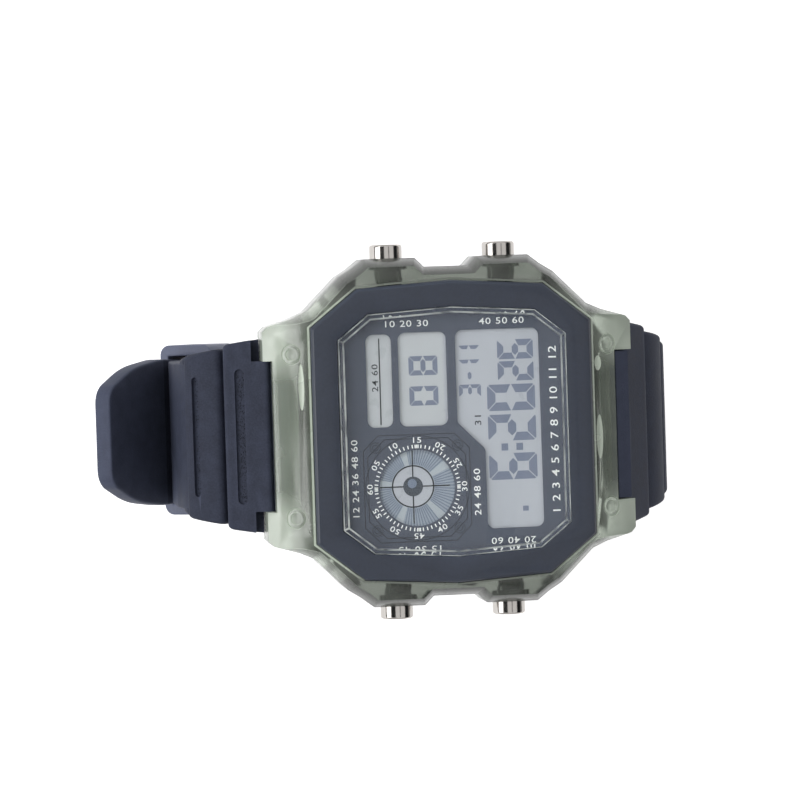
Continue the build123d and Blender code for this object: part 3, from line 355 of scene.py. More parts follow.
def make_materials():
    """Every finish of the watch, by a short name

    The numbers are roughness and its spread, tone, grain and bump in millimetres."""
    scene = bpy.context.scene
    case, dial, strap = scene.watch_case, scene.watch_dial, scene.watch_strap
    steel = linear("#b9babd")
    painted_tip_light, loop = shade(strap.strap_colour, 1.6), shade(strap.strap_colour, 2.6)
    made = {
        "resin": clear_resin(case, "moulded_clear_polyurethane", 0, 1),
        # The case's rounded edges, its dimples and the lip round the bezel plate: milkier, and
        # lighter as a painted highlight
        "resin_edge": clear_resin(case, "clear_polyurethane_painted_highlight", 0.6, 1.2),
        # Steep outer walls: darker, painted shade
        "resin_wall": clear_resin(case, "clear_polyurethane_painted_shade", 0.35, 0.5),
        "crystal": clear_crystal(),
        "painted_glint_edge": painted_glint_edge(),
    }

    def add(key, name, colour, *numbers, **more):
        """One more grained finish, from a colour or its hex code"""
        colour = linear(colour) if isinstance(colour, str) else colour
        made[key] = grained(name, colour, *numbers, **more)

    # Spray-painted steel: satin, with a fine orange-peel and slightly lighter edges, a painted
    # highlight
    add("bezel", "satin_painted_steel", case.bezel_colour, 0.4, 0.08, 0.10, 0.35, 0.006,
        coat=0.1, wear=0.25, gloss=0.4)
    # Polished chromium plate: mirror-like, with faint wiping marks
    add("pusher", "polished_chrome", case.pusher_colour, 0.14, 0.05, 0.04, 0.8, 0.001, metallic=1)
    # Lacquered brass plate: smooth, even, half matt
    add("dial", "dial_lacquer", dial.dial_colour, 0.5, 0.04, 0.05, 0.25, 0.002, gloss=0.1)
    # Pad-printed ink: dense and matt, with a slightly uneven film
    add("ink", "white_printing_ink", dial.ink_colour, 0.6, 0.05, 0.03, 0.2, 0.002)
    add("faint", "grey_printing_ink", dial.faint_colour, 0.55, 0.05, 0.03, 0.2, 0.002)
    add("black_ink", "black_printing_ink", "#22252b", 0.55, 0.05, 0.05, 0.2, 0.002)
    # Liquid crystal glass over a silver reflector: pale, faintly mottled
    add("lcd", "liquid_crystal_glass", dial.display_colour, 0.3, 0.05, 0.02, 1.5, 0.001, coat=0.4)
    add("pale_lcd", "pale_display_film", "#babcc1", 0.3, 0.05, 0.02, 1.5, 0.001, coat=0.4)
    add("segment", "switched_on_crystal", dial.segment_colour, 0.4, 0.05, 0.03, 0.5, 0.001)
    # Printed polariser film of the round sub-dial: smooth, half matt
    add("sector", "grey_blue_polariser", "#979fab", 0.35, 0.05, 0.04, 0.5, 0.001)
    add("hub", "grey_hub_lacquer", "#40454f", 0.4, 0.05, 0.05, 0.4, 0.001)
    add("sector_line", "dark_polariser_lines", "#717b8e", 0.35, 0.05, 0.04, 0.5, 0.001)
    add("sector_light", "frosted_polariser", "#acb2ba", 0.35, 0.05, 0.03, 0.5, 0.001)
    # Moulded polyurethane: dull, with a fine eroded mould grain, edges polished lighter by wear
    add("strap", "moulded_black_polyurethane", strap.strap_colour, 0.6, 0.07, 0.2, 0.22, 0.03,
        wear=0.3, gloss=0.1)
    # The strap's free end, painted paler: painted light lifting the shade in the hollow of the loop
    add("strap_tip", "black_polyurethane_painted_light", painted_tip_light, 0.6, 0.07, 0.15, 0.22, 0.02,
        wear=0.3, gloss=0.15)
    add("keeper", "moulded_keeper_polyurethane", loop, 0.5, 0.07, 0.12, 0.22, 0.012, wear=0.3)
    add("strap_inner", "rough_black_polyurethane", strap.inner_colour, 0.7, 0.05, 0.10, 0.3, 0.02,
        gloss=0.3)
    # Nitrile rubber: dark and matt
    add("seal", "nitrile_rubber", "#2a2c2e", 0.7, 0.05, 0.08, 0.3, 0.01)
    # The module: silvered film, epoxy, board, moulded plastic, drawn, sprung and rolled metal
    add("reflector", "silvered_film", "#c9ccce", 0.3, 0.05, 0.04, 0.5, 0.001, metallic=0.8)
    add("led", "led_epoxy", "#dfe6c8", 0.2, 0.05, 0.03, 0.4, 0.001)
    add("board", "glass_epoxy_board", "#2f5a3c", 0.45, 0.06, 0.10, 0.4, 0.004)
    add("potting", "epoxy_potting", "#1b1c1e", 0.35, 0.06, 0.08, 0.6, 0.01)
    add("module", "moulded_abs", "#3a3d40", 0.5, 0.05, 0.08, 0.3, 0.008)
    add("can", "drawn_stainless_can", steel, 0.28, 0.05, 0.05, 0.5, 0.002, metallic=1)
    add("spring_steel", "spring_steel", steel, 0.25, 0.05, 0.06, 0.3, 0.002, metallic=1)
    add("brass", "rolled_brass", "#c8a963", 0.3, 0.05, 0.06, 0.4, 0.002, metallic=1)
    # Stamped stainless steel with a satin face
    add("case_back", "satin_stainless_steel", "#b2b3b6", 0.34, 0.06, 0.05, 0.18, 0.003, metallic=1)
    add("buckle", "satin_buckle_steel", "#9fa1a6", 0.32, 0.06, 0.05, 0.2, 0.003, metallic=1)
    return made


def finish_of(name):
    """A finish by its short name"""
    return bpy.data.materials[bpy.context.scene["watch_finishes"][name]]


def placed(name, data):
    """A new object in the scene"""
    piece = bpy.data.objects.new(name, data)
    bpy.context.scene.collection.objects.link(piece)
    return piece


def scene_object(name, mesh, finishes, body, stands_for=()):
    """Put a finished mesh into the scene, riding on its body"""
    piece = placed(name, mesh)
    slots = [min(face.material_index, len(finishes) - 1) for face in mesh.polygons]
    mesh.materials.clear()
    for finish in finishes:
        mesh.materials.append(finish_of(finish))
    mesh.polygons.foreach_set("material_index", slots)
    if stands_for:
        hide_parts(*stands_for)
    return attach(piece, body)


def smooth(mesh, degrees=35):
    """Shade smooth over edges flatter than an angle"""
    mesh.polygons.foreach_set("use_smooth", [True] * len(mesh.polygons))
    mesh.set_sharp_from_angle(angle=math.radians(degrees))
    return mesh


def evaluated_mesh(worker):
    """The mesh that a passing object's modifiers or curve give; the object is then removed"""
    graph = bpy.context.evaluated_depsgraph_get()
    mesh = bpy.data.meshes.new_from_object(
        worker.evaluated_get(graph), preserve_all_data_layers=True, depsgraph=graph
    )
    bpy.data.objects.remove(worker)
    return mesh


def with_modifier(mesh, kind, settings):
    """Run a modifier over a mesh on a passing object, and give the result"""
    worker = placed("worker", mesh)
    modifier = worker.modifiers.new(kind, kind)
    for key, value in settings.items():
        setattr(modifier, key, value)
    return evaluated_mesh(worker)


def mesh_of(work, name):
    """A new mesh from a finished bmesh"""
    mesh = bpy.data.meshes.new(name)
    work.to_mesh(mesh)
    work.free()
    return mesh


# Points this close are one, faces this flat are joined, and edges sharper than this are rounded
SAME_POINT, FLAT_ANGLE, EDGE_ANGLE = 0.002 * MM, 2, 30


def node_copy(name, edge, segments=3, edge_slot=-1):
    """A CAD node's mesh with its triangles joined into faces and its edges rounded

    edge_slot is the material slot of the rounded edges, or -1 for that of their neighbours."""
    mesh = frame["nodes"][name].data.copy()
    mesh.materials.clear()
    for _ in range(2):
        mesh.materials.append(None)
    work = bmesh.new()
    work.from_mesh(mesh)
    bmesh.ops.remove_doubles(work, verts=work.verts, dist=SAME_POINT)
    flat = math.radians(FLAT_ANGLE)
    bmesh.ops.dissolve_limit(work, angle_limit=flat, verts=work.verts, edges=work.edges)
    work.to_mesh(mesh)
    work.free()
    if edge:
        mesh = with_modifier(mesh, "BEVEL", {
            "width": edge, "segments": segments, "limit_method": "ANGLE",
            "angle_limit": math.radians(EDGE_ANGLE), "use_clamp_overlap": True,
            "material": edge_slot,
        })
    return smooth(mesh)


def skin(work, rings, capped=True):
    """Faces between rings of points, each closed on itself, and over the first and last ring"""
    for a, b in zip(rings, rings[1:]):
        for i in range(len(a)):
            j = (i + 1) % len(a)
            work.faces.new((a[i], a[j], b[j], b[i]))
    if capped:
        work.faces.new(rings[0])
        work.faces.new(list(reversed(rings[-1])))


def prisms(name, outlines, base, depth):
    """Thin closed plates on a height, from outlines in the dial's right and up directions"""
    work = bmesh.new()
    for outline in outlines:
        skin(work, [
            [work.verts.new((-up * MM, right * MM, height * MM)) for right, up in outline]
            for height in (base, base + depth)
        ])
    bmesh.ops.recalc_face_normals(work, faces=work.faces)
    return mesh_of(work, name)


def layer(name, outlines, base, depth, finish):
    """Put thin plates on the case, from outlines in the dial's right and up directions"""
    scene_object(name, prisms(name, outlines, base, depth), [finish], "case")


def moved(outlines, right, up, angle=0):
    """Outlines turned clockwise by an angle in degrees, then shifted"""
    c, s = math.cos(math.radians(angle)), math.sin(math.radians(angle))
    return [
        [(right + x * c + y * s, up - x * s + y * c) for x, y in outline]
        for outline in outlines
    ]


def bar(x0, y0, x1, y1, width):
    """The outline of a straight line with a width"""
    start, end = Vector((x0, y0)), Vector((x1, y1))
    along = (end - start).normalized() * (width / 2)
    side = Vector((-along.y, along.x))
    return [tuple(point) for point in (start + side, start - side, end - side, end + side)]


def corners_of(points):
    """Each corner of a closed outline, with the unit steps to it and on to the next one"""
    spots = [Vector(point) for point in points]
    for before, here, after in zip(spots[-1:] + spots[:-1], spots, spots[1:] + spots[:1]):
        yield here, (here - before).normalized(), (after - here).normalized()


def ribbon(points, width):
    """Outlines of a closed polyline with a width, mitred at its corners"""
    sides = []
    for here, a, b in corners_of(points):
        normal = Vector((-a.y - b.y, a.x + b.x)).normalized()
        reach = width / 2 / max(0.3, normal.dot(Vector((-b.y, b.x))))
        sides.append((tuple(here + normal * reach), tuple(here - normal * reach)))
    return [[*one, *reversed(other)] for one, other in zip(sides, sides[1:] + sides[:1])]


def circle(radius, right=0, up=0, sides=40, start=0, sweep=360):
    """Points on a circle or an arc, clockwise from the up direction"""
    steps = sides if sweep == 360 else sides + 1
    return [
        (right + radius * math.sin(math.radians(start + sweep * i / sides)),
         up + radius * math.cos(math.radians(start + sweep * i / sides)))
        for i in range(steps)
    ]


def sector(inner, outer, start, sweep):
    """The outline of a part of a flat ring"""
    rims = [circle(radius, sides=6, start=start, sweep=sweep) for radius in (outer, inner)]
    return rims[0] + rims[1][::-1]


# Segments that each digit switches on: top, upper right, lower right, bottom, lower left,
# upper left, middle
DIGIT_SEGMENTS = {
    "0": "tbcdef", "1": "bc", "2": "tbged", "3": "tbgcd", "6": "tfgecd", "8": "tbcdefg", "-": "g",
}
# How much of a stroke its outer corner loses, and how much of the gap its mitre opens
CUT_SHARE, SLIT_SHARE = 0.3, 0.35


def digit(sign, width, height, stroke, gap):
    """Outlines of one seven-segment digit about its centre, mitred, with cut outer corners"""
    w, h, cut, slit = width / 2, height / 2, CUT_SHARE * stroke, SLIT_SHARE * gap
    inner_x, inner_y, half = w - stroke, h - stroke, stroke / 2
    top = [
        (cut - w, h), (w - cut, h),
        (w - cut / 2 - slit, h - cut / 2 + slit), (inner_x - 2 * slit, inner_y),
        (2 * slit - inner_x, inner_y), (cut / 2 + slit - w, h - cut / 2 + slit),
    ]
    right = [
        (w - cut / 2 + slit, h - cut / 2 - slit), (w, h - cut), (w, gap / 2),
        (inner_x, half + gap / 2), (inner_x, inner_y - 2 * slit),
    ]
    segments = {
        "t": top, "d": [(px, -py) for px, py in top],
        "b": right, "c": [(px, -py) for px, py in right],
        "f": [(-px, py) for px, py in right], "e": [(-px, -py) for px, py in right],
        "g": [
            (half + gap - w, 0), (gap - inner_x, half), (inner_x - gap, half),
            (w - half - gap, 0), (inner_x - gap, -half), (gap - inner_x, -half),
        ],
    }
    outlines = []
    for key in DIGIT_SEGMENTS[sign]:
        outline = segments[key]
        area = sum(p[0] * q[1] - q[0] * p[1] for p, q in zip(outline, outline[1:] + outline[:1]))
        outlines.append(outline if area > 0 else outline[::-1])
    return outlines


# Plain numbers: how much is added to their strokes, their height for a size of 1, and their width
STROKE_WEIGHT, FIGURE_HEIGHT, FIGURE_WIDTH = 0.004, 0.72, 1.3


def lettering(name, rows, base, lift):
    """Printed plain numbers: rows of (text, right, up, clockwise turn, height), in millimetres"""
    work = bmesh.new()
    for text, right, up, turn, height in rows:
        curve = bpy.data.curves.new("print", "FONT")
        curve.body = text
        curve.align_x, curve.align_y = "CENTER", "CENTER"
        curve.size = height / FIGURE_HEIGHT
        curve.space_character = 1.1
        curve.offset = STROKE_WEIGHT * curve.size
        curve.resolution_u = 3
        curve.extrude = lift / 2
        mesh = evaluated_mesh(placed("worker", curve))
        spin = Matrix.Rotation(math.radians(90 - turn), 4, "Z")
        wide = Matrix.Diagonal((FIGURE_WIDTH, 1, 1, 1))
        mesh.transform(Matrix.Translation((-up, right, base + lift / 2)) @ spin @ wide)
        work.from_mesh(mesh)
    bmesh.ops.scale(work, vec=(MM, MM, MM), verts=work.verts)
    return mesh_of(work, name)


def dial_place(x, y):
    """A place on the dial as right and up, from the frame's X and Y in millimetres"""
    return y, -x


def dial_rows(rows):
    """Rows of numbers with their places as right and up"""
    return [(text, *dial_place(x, y), turn, height) for text, x, y, turn, height in rows]


def new_tree(name, inputs):
    """A geometry tree, and what its named inputs give; each has a kind of socket and a default"""
    tree = bpy.data.node_groups.new(name, "GeometryNodeTree")
    tree.interface.new_socket("Geometry", in_out="OUTPUT", socket_type="NodeSocketGeometry")
    for key, kind, default in (*inputs, ("Finish", "Material", None)):
        socket = tree.interface.new_socket(key, in_out="INPUT", socket_type="NodeSocket" + kind)
        if default is not None:
            socket.default_value = default
    return tree, add_node(tree, "NodeGroupInput").outputs


def finish_tree(tree, given, copies):
    """Put copies on points, make them real, dress them and give them out"""
    copies = add_node(tree, "GeometryNodeInstanceOnPoints", copies)
    real = add_node(tree, "GeometryNodeRealizeInstances", {"Geometry": copies.outputs[0]})
    dressed = {"Geometry": real.outputs[0], "Material": given["Finish"]}
    dressed = add_node(tree, "GeometryNodeSetMaterial", dressed)
    add_node(tree, "NodeGroupOutput", {"Geometry": dressed.outputs[0]})
    return tree


def run_tree(tree, values, name):
    """Run a geometry tree on a passing object with its inputs set, and give the mesh"""
    worker = placed("worker", bpy.data.meshes.new(name))
    modifier = worker.modifiers.new("Build", "NODES")
    modifier.node_group = tree
    for item in tree.interface.items_tree:
        if item.name in values:
            modifier[item.identifier] = values[item.name]
    return evaluated_mesh(worker)


def ring_tree():
    """Geometry tree: short bars around a ring, one for each step, pointing at its centre"""
    tree, given = new_tree("ring_of_ticks", (
        ("Count", "Int", 60), ("Radius", "Float", 0.005), ("Length", "Float", 0.0005),
        ("Width", "Float", 0.0001), ("Thickness", "Float", 0.00001),
    ))
    ring = {"Vertices": given["Count"], "Radius": given["Radius"]}
    ring = add_node(tree, "GeometryNodeMeshCircle", ring)
    size = {"X": given["Length"], "Y": given["Width"], "Z": given["Thickness"]}
    size = add_node(tree, "ShaderNodeCombineXYZ", size)
    tick = add_node(tree, "GeometryNodeMeshCube", {"Size": size.outputs[0]})
    place = add_node(tree, "GeometryNodeInputPosition")
    turn = {"Vector": place.outputs[0]}
    turn = add_node(tree, "FunctionNodeAlignRotationToVector", turn, axis="X")
    return finish_tree(tree, given, {
        "Points": ring.outputs[0], "Instance": tick.outputs[0], "Rotation": turn.outputs[0],
    })


def grain_tree():
    """Geometry tree: small pips scattered over a flat strip, like a moulded slot's rough floor"""
    tree, given = new_tree("slot_grains", (
        ("Length", "Float", 0.016), ("Width", "Float", 0.001), ("Density", "Float", 2e7),
        ("Spacing", "Float", 0.0002), ("Size", "Float", 0.0002), ("Seed", "Int", 7),
    ))
    strip = {"Size X": given["Length"], "Size Y": given["Width"]}
    strip = add_node(tree, "GeometryNodeMeshGrid", strip)
    points = {
        "Mesh": strip.outputs[0], "Distance Min": given["Spacing"],
        "Density Max": given["Density"], "Seed": given["Seed"],
    }
    points = add_node(
        tree, "GeometryNodeDistributePointsOnFaces", points, distribute_method="POISSON"
    )
    radius = reckoned(tree, "MULTIPLY", given["Size"], 0.5)
    pip = add_node(tree, "GeometryNodeMeshIcoSphere", {"Radius": radius, "Subdivisions": 1})
    # Sockets 2 and 3 take the least and the largest number, and 1 gives the one drawn
    size = {"Seed": given["Seed"], 2: 0.6, 3: 1.3}
    size = add_node(tree, "FunctionNodeRandomValue", size, data_type="FLOAT")
    return finish_tree(tree, given, {
        "Points": points.outputs[0], "Instance": pip.outputs[0], "Scale": size.outputs[1],
    })


# Strap routes in the side view, in millimetres and degrees: start, heading, (length, turn) steps.
# The long half leaves the 6 o'clock spring bar, the short half the 12 o'clock one.
BAR_X, BAR_Z = 20.0, 4.6
SLOPE_BOTTOM, TAIL_LEAN = 6.5, 36.0
DROP_ANGLE, DROP_LENGTH = 55.0, 11.2
SIDE_RADIUS, BOTTOM_RADIUS, FOLD_RADIUS = 13.3, 23.3, 14.0
SHORT_SIDE_X, SHORT_SIDE_Z, SHORT_BEND_RUN = 31.0, -7.5, 8.62
SHORT_FIRST, SHORT_SECOND = (28.0, 6.9), (42.0, 5.7)
SHORT_RADII = (8.0, 6.0, 8.0, 9.0)
SHORT_END_RUN, LAYER_PITCH = 2.2, 2.4
EAR_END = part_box("case_shell")[1].x / MM
# The free tail: how far past the fold, how much wider than the band, and the corner's radius
TAIL_REACH = 28.4
TAIL_OUTLINE = ((11.0, 0, 30), (16.0, 0.3, 14), (22.5, -0.5, 16), (TAIL_REACH, -3.15, 2.6))
# The adjusting holes: the first one's place and their pitch, half sizes and corners
HOLE_COUNT, HOLE_FIRST, HOLE_PITCH = 6, 13.3, 6.5
HOLE_HALF_LENGTH, HOLE_HALF_WIDTH, HOLE_CORNER = 1.7, 1.2, 0.5
# The eyes around the spring bars and the buckle's bar: hole, outer radii, rounding and sides
EYE_HOLE, EYE_OUTER, BUCKLE_EYE_OUTER, EYE_EDGE, EYE_SIDES = 0.8, 1.9, 1.45, 0.2, 32
# A run bent less than this is straight
STRAIGHT = 1e-9
# Where the band itself begins and how far it stops from the buckle, and the bar's offset from it
EYE_WALL, BUCKLE_STOP, BUCKLE_BAR_RISE = 1.2, 1.0, 0.45


def along(run, distance):
    """The side view place and heading at a distance along one run"""
    x, z, heading, _, bend = run
    if abs(bend) < STRAIGHT:
        return x + distance * math.cos(heading), z + distance * math.sin(heading), heading
    end = heading + bend * distance
    x += (math.sin(end) - math.sin(heading)) / bend
    return x, z - (math.cos(end) - math.cos(heading)) / bend, end


def route(x, z, heading, steps):
    """Runs of a band's middle line, each with its start, heading, length and bend"""
    runs = []
    heading = math.radians(heading)
    for length, turn in steps:
        runs.append((x, z, heading, length, math.radians(turn) / length))
        x, z, heading = along(runs[-1], length)
    return runs


def place_on(runs, distance):
    """The side view place and heading at a distance along a whole route"""
    for run in runs[:-1]:
        if distance <= run[3]:
            return along(run, distance)
        distance -= run[3]
    return along(runs[-1], distance)


def arc_step(radius, turn):
    """The (length, turn) step of an arc"""
    return radius * math.radians(abs(turn)), turn


def filleted_steps(points, radii):
    """Steps along a polyline whose inner corners are rounded, with the first heading"""
    points = [Vector(p) for p in points]
    headings = [math.degrees(math.atan2(b.y - a.y, b.x - a.x)) for a, b in zip(points, points[1:])]
    turns = [(b - a + 180) % 360 - 180 for a, b in zip(headings, headings[1:])]
    cuts = [0] + [r * math.tan(math.radians(abs(t)) / 2) for r, t in zip(radii, turns)] + [0]
    steps = []
    for i, (a, b) in enumerate(zip(points, points[1:])):
        steps.append(((b - a).length - cuts[i] - cuts[i + 1], 0))
        if i < len(turns):
            steps.append(arc_step(radii[i], turns[i]))
    return headings[0], steps


def unit(angle):
    """A unit step in the side view"""
    return Vector((math.cos(math.radians(angle)), math.sin(math.radians(angle))))


def long_route():
    """Middle line of the long half"""
    lean, slope = math.radians(TAIL_LEAN), math.radians(SLOPE_BOTTOM)
    fold_end_x = SHORT_BEND_RUN - SHORT_SIDE_X - LAYER_PITCH * math.cos(lean)
    fold_span = FOLD_RADIUS * (math.sin(slope) + math.cos(lean))
    steps = [
        (DROP_LENGTH, 0),
        arc_step(SIDE_RADIUS, DROP_ANGLE - 90),
        arc_step(BOTTOM_RADIUS, SLOPE_BOTTOM - 90),
    ]
    bottom_x = along(route(BAR_X, BAR_Z, -DROP_ANGLE, steps)[-1], steps[-1][0])[0]
    flat_length = (bottom_x - fold_end_x - fold_span) / math.cos(slope)
    steps.append((flat_length, 0))
    steps.append(arc_step(FOLD_RADIUS, TAIL_LEAN - 90 - SLOPE_BOTTOM))
    steps.append((TAIL_REACH, 0))
    return route(BAR_X, BAR_Z, -DROP_ANGLE, steps)


def short_route(fold_end):
    """Middle line of the short half, which lies inside the tail, and its first four corners"""
    inner_turn = fold_end + unit(TAIL_LEAN) * LAYER_PITCH
    start = Vector((-BAR_X, BAR_Z))
    first = start + unit(180 + SHORT_FIRST[0]) * SHORT_FIRST[1]
    second = first + unit(180 + SHORT_SECOND[0]) * SHORT_SECOND[1]
    side = Vector((-SHORT_SIDE_X, SHORT_SIDE_Z))
    rise = SHORT_BEND_RUN / math.sin(math.radians(TAIL_LEAN))
    bend = inner_turn + unit(90 + TAIL_LEAN) * rise
    heading, steps = filleted_steps([start, first, second, side, bend, inner_turn], SHORT_RADII)
    steps.append(arc_step(FOLD_RADIUS - LAYER_PITCH, 90 + SLOPE_BOTTOM - TAIL_LEAN))
    steps.append((SHORT_END_RUN, 0))
    return route(start.x, start.y, heading, steps), (start, first, second, side)


def flat_plate(outlines, thickness, edge):
    """A plate with rounded edges about the middle plane, from an outer outline and its holes

    The outlines are (x, y) points in millimetres. The holes run the other way round."""
    curve = bpy.data.curves.new("plate", "CURVE")
    curve.dimensions = "2D"
    curve.fill_mode = "BOTH"
    curve.extrude = thickness / 2 - edge
    curve.bevel_depth = edge
    curve.bevel_resolution = 2
    curve.offset = -edge
    for outline in outlines:
        spline = curve.splines.new("POLY")
        spline.points.add(len(outline) - 1)
        spline.use_cyclic_u = True
        for point, (x, y) in zip(spline.points, outline):
            point.co = (x, y, 0, 1)
    return evaluated_mesh(placed("worker", curve))


def rounded_outline(points, radii, steps):
    """An outline with its corners replaced by arcs"""
    outline = []
    for (here, a, b), radius in zip(corners_of(points), radii):
        if not radius:
            outline.append(tuple(here))
            continue
        half = (-a).angle(b) / 2
        middle = here + (b - a).normalized() * (radius / math.sin(half))
        start = here - a * (radius / math.tan(half)) - middle
        turn = math.copysign(math.pi - 2 * half, a.x * b.y - a.y * b.x)
        for k in range(steps + 1):
            outline.append(tuple(middle + Matrix.Rotation(turn * k / steps, 2) @ start))
    return outline


# The length of the slices in which a band is bent
BEND_SLICE = 0.6


def wrapped(work, runs, outward):
    """Slice a flat band at even steps and bend it along its route

    x is the distance along the route, y the width and z the height towards the outside."""
    reach = max(v.co.x for v in work.verts)
    at = BEND_SLICE
    while at < reach:
        whole = work.verts[:] + work.edges[:] + work.faces[:]
        bmesh.ops.bisect_plane(work, geom=whole, plane_co=(at, 0, 0), plane_no=(1, 0, 0))
        at += BEND_SLICE
    for vert in work.verts:
        x, z, heading = place_on(runs, vert.co.x)
        lift = vert.co.z * outward
        vert.co = (x - math.sin(heading) * lift, vert.co.y, z + math.cos(heading) * lift)


# Steps of a block's rounded edges and along its top, and the lines between its two sides
EDGE_STEPS, TOP_STEPS, TOP_LINES = 5, 12, (-0.6, -0.2, 0.2, 0.6)


def block_mesh(length, near, far, rise, root, edge, crown):
    """A raised block with rounded upper edges and a slightly crowned top, in its own axes

    x runs along the band from the near to the far end, y across it and z outwards."""
    angles = [math.radians(90 * k / EDGE_STEPS) for k in range(EDGE_STEPS + 1)]
    turn = [(edge * (1 - math.cos(a)), edge * (1 - math.sin(a))) for a in angles]
    slices = [(-1, t, d) for t, d in turn] + [(0, y, 0) for y in TOP_LINES]
    slices += [(1, t, d) for t, d in reversed(turn)]
    work = bmesh.new()
    rings = []
    for side, t, d in slices:
        flat = length - 2 * (d + edge)
        profile = [(d, -root)] + [(d + a, rise - d - b) for a, b in turn]
        profile += [(d + edge + flat * k / TOP_STEPS, rise - d) for k in range(1, TOP_STEPS)]
        profile += [(length - d - a, rise - d - b) for a, b in reversed(turn)]
        ring = []
        for x, z in (*profile, (length - d, -root)):
            reach = near + (far - near) * x / length
            y = (reach - t) * side if side else reach * t
            lift = crown * (1 - (2 * x / length - 1) ** 2) if z > 0 else 0
            ring.append(work.verts.new((x, y, z + lift)))
        rings.append(ring)
    skin(work, rings)
    bmesh.ops.recalc_face_normals(work, faces=work.faces)
    return mesh_of(work, "block")


def cut_away(mesh, cutters):
    """Subtract closed meshes from a closed mesh"""
    for cutter in cutters:
        tool = placed("cutter", cutter)
        cut = {"operation": "DIFFERENCE", "solver": "EXACT", "object": tool}
        mesh = with_modifier(mesh, "BOOLEAN", cut)
        bpy.data.objects.remove(tool)
    return mesh


# Raised blocks: near and far half width, rise above the band's middle, crown
BLOCKS = (
    (12.0, 11.2, 2.6, 0.0),
    (10.75, 9.9, 1.8, 0.5),
    (9.85, 9.45, 1.65, 0.15),
)
LONG_LENGTHS, SHORT_LENGTHS = (5.9, 6.5, 2.6), (5.1, 5.6, 3.0)
# How much wider the long half's blocks are, and how far its third one stands from the second
LONG_SWELLS, THIRD_GAP = (0.6, 0.5, 0), 0.1
# The short half's last block is lower
SHORT_LAST_RISE = 0.8
BLOCK_ROOT = 0.6
# The slots in the short half's first two blocks: half length and width
BLOCK_SLOTS = ((8.2, 1.25), (7.3, 1.0))
SLOT_INSET, SLOT_DEPTH, SLOT_EDGE, SLOT_END_STEPS = 1.6, 0.35, 0.12, 8
# What the slot's walls take from its grainy floor, along and across the band
GRAIN_CLEAR_ALONG, GRAIN_CLEAR_ACROSS = 0.25, 0.6
# The grains' least distance as a share of their size
GRAIN_SPACING = 0.8
# Up to what angle in degrees the strap and its grains are shaded smooth
STRAP_SMOOTH, GRAIN_SMOOTH = 40, 60
# Points of the band this close together, in millimetres, are one
SAME_SPOT = 0.001
SHOULDER_GAP = 0.06
# The free end begins here, under the last block; from here on it takes the paler finish, painted
# light
PAINTED_LIGHT_FROM = -32.5 * MM
# The ears' slot: its half width, and the room cleared beside it
EAR_SLOT_HALF, EAR_CLEAR, EAR_CLEAR_HALF = 9.1, 7.0, 16
# The pockets beside the ears' ends in the short half: reach and floor
POCKET_REACH, POCKET_FLOOR = 1.15, 4.1
# Heights that are below and above every block
CUT_LOW, CUT_HIGH = -20, 20


def slot_outline(half_length, width):
    """A slot across the block, with round ends"""
    radius, ends = width / 2, []
    for side, start in ((1, 0), (-1, 180)):
        middle = side * (half_length - radius)
        for k in range(SLOT_END_STEPS + 1):
            angle = math.radians(start + 180 * k / SLOT_END_STEPS)
            ends.append((radius * math.cos(angle), middle + radius * math.sin(angle)))
    return ends


def box_mesh(low, high):
    """A closed box between two corners"""
    work = bmesh.new()
    bmesh.ops.create_cube(work, size=1)
    for vert in work.verts:
        vert.co = [(a + b) / 2 + c * (b - a) for a, b, c in zip(low, high, vert.co)]
    return mesh_of(work, "box")


def ear_cutters(side):
    """Boxes for the ears' room beside the strap's end, and the short half's pockets

    side is X's sign."""
    shoulder = EAR_END + SHOULDER_GAP
    spans = [(shoulder - EAR_CLEAR, shoulder, CUT_LOW)]
    if side < 0:
        spans.append((EAR_END, EAR_END + POCKET_REACH, POCKET_FLOOR))
    boxes = []
    for across in (-1, 1):
        y = sorted((across * EAR_SLOT_HALF, across * EAR_CLEAR_HALF))
        for near, far, floor in spans:
            x = sorted((side * near, side * far))
            boxes.append(box_mesh((x[0], y[0], floor), (x[1], y[1], CUT_HIGH)))
    return boxes


def raised_block(index, start, strap, slotted):
    """One block of a strap half in its own axes, and its length

    start is where it begins along its run, and how much longer the first block is."""
    near, far, rise, crown = BLOCKS[index]
    length = (SHORT_LENGTHS if slotted else LONG_LENGTHS)[index]
    swell = 0 if slotted else LONG_SWELLS[index]
    if slotted and index == len(BLOCKS) - 1:
        rise = SHORT_LAST_RISE
    total = length if index else length + start[1]
    edge = strap.block_edge / MM
    mesh = block_mesh(total, near + swell, far + swell, rise, BLOCK_ROOT, edge, crown)
    if slotted and index < len(BLOCK_SLOTS):
        half_length, width = BLOCK_SLOTS[index]
        cutter = flat_plate([slot_outline(half_length, width)], 2 * SLOT_DEPTH, SLOT_EDGE)
        place = (total - SLOT_INSET - width / 2, 0, rise + crown / 2)
        cutter.transform(Matrix.Translation(place))
        mesh = cut_away(mesh, [cutter])
    return mesh, total


def side_frame(origin, forward, outward):
    """The matrix that stands a mesh's x along the band and its z outwards, in the side view"""
    matrix = Matrix.Identity(4)
    matrix.col[0] = (forward.x, 0, forward.y, 0)
    matrix.col[1] = (0, 1, 0, 0)
    matrix.col[2] = (outward.x, 0, outward.y, 0)
    matrix.col[3] = (origin.x, 0, origin.y, 1)
    return matrix


def joined(meshes, name):
    """One mesh from several, scaled from millimetres to metres"""
    work = bmesh.new()
    for mesh in meshes:
        work.from_mesh(mesh)
    bmesh.ops.scale(work, vec=(MM, MM, MM), verts=work.verts)
    return mesh_of(work, name)


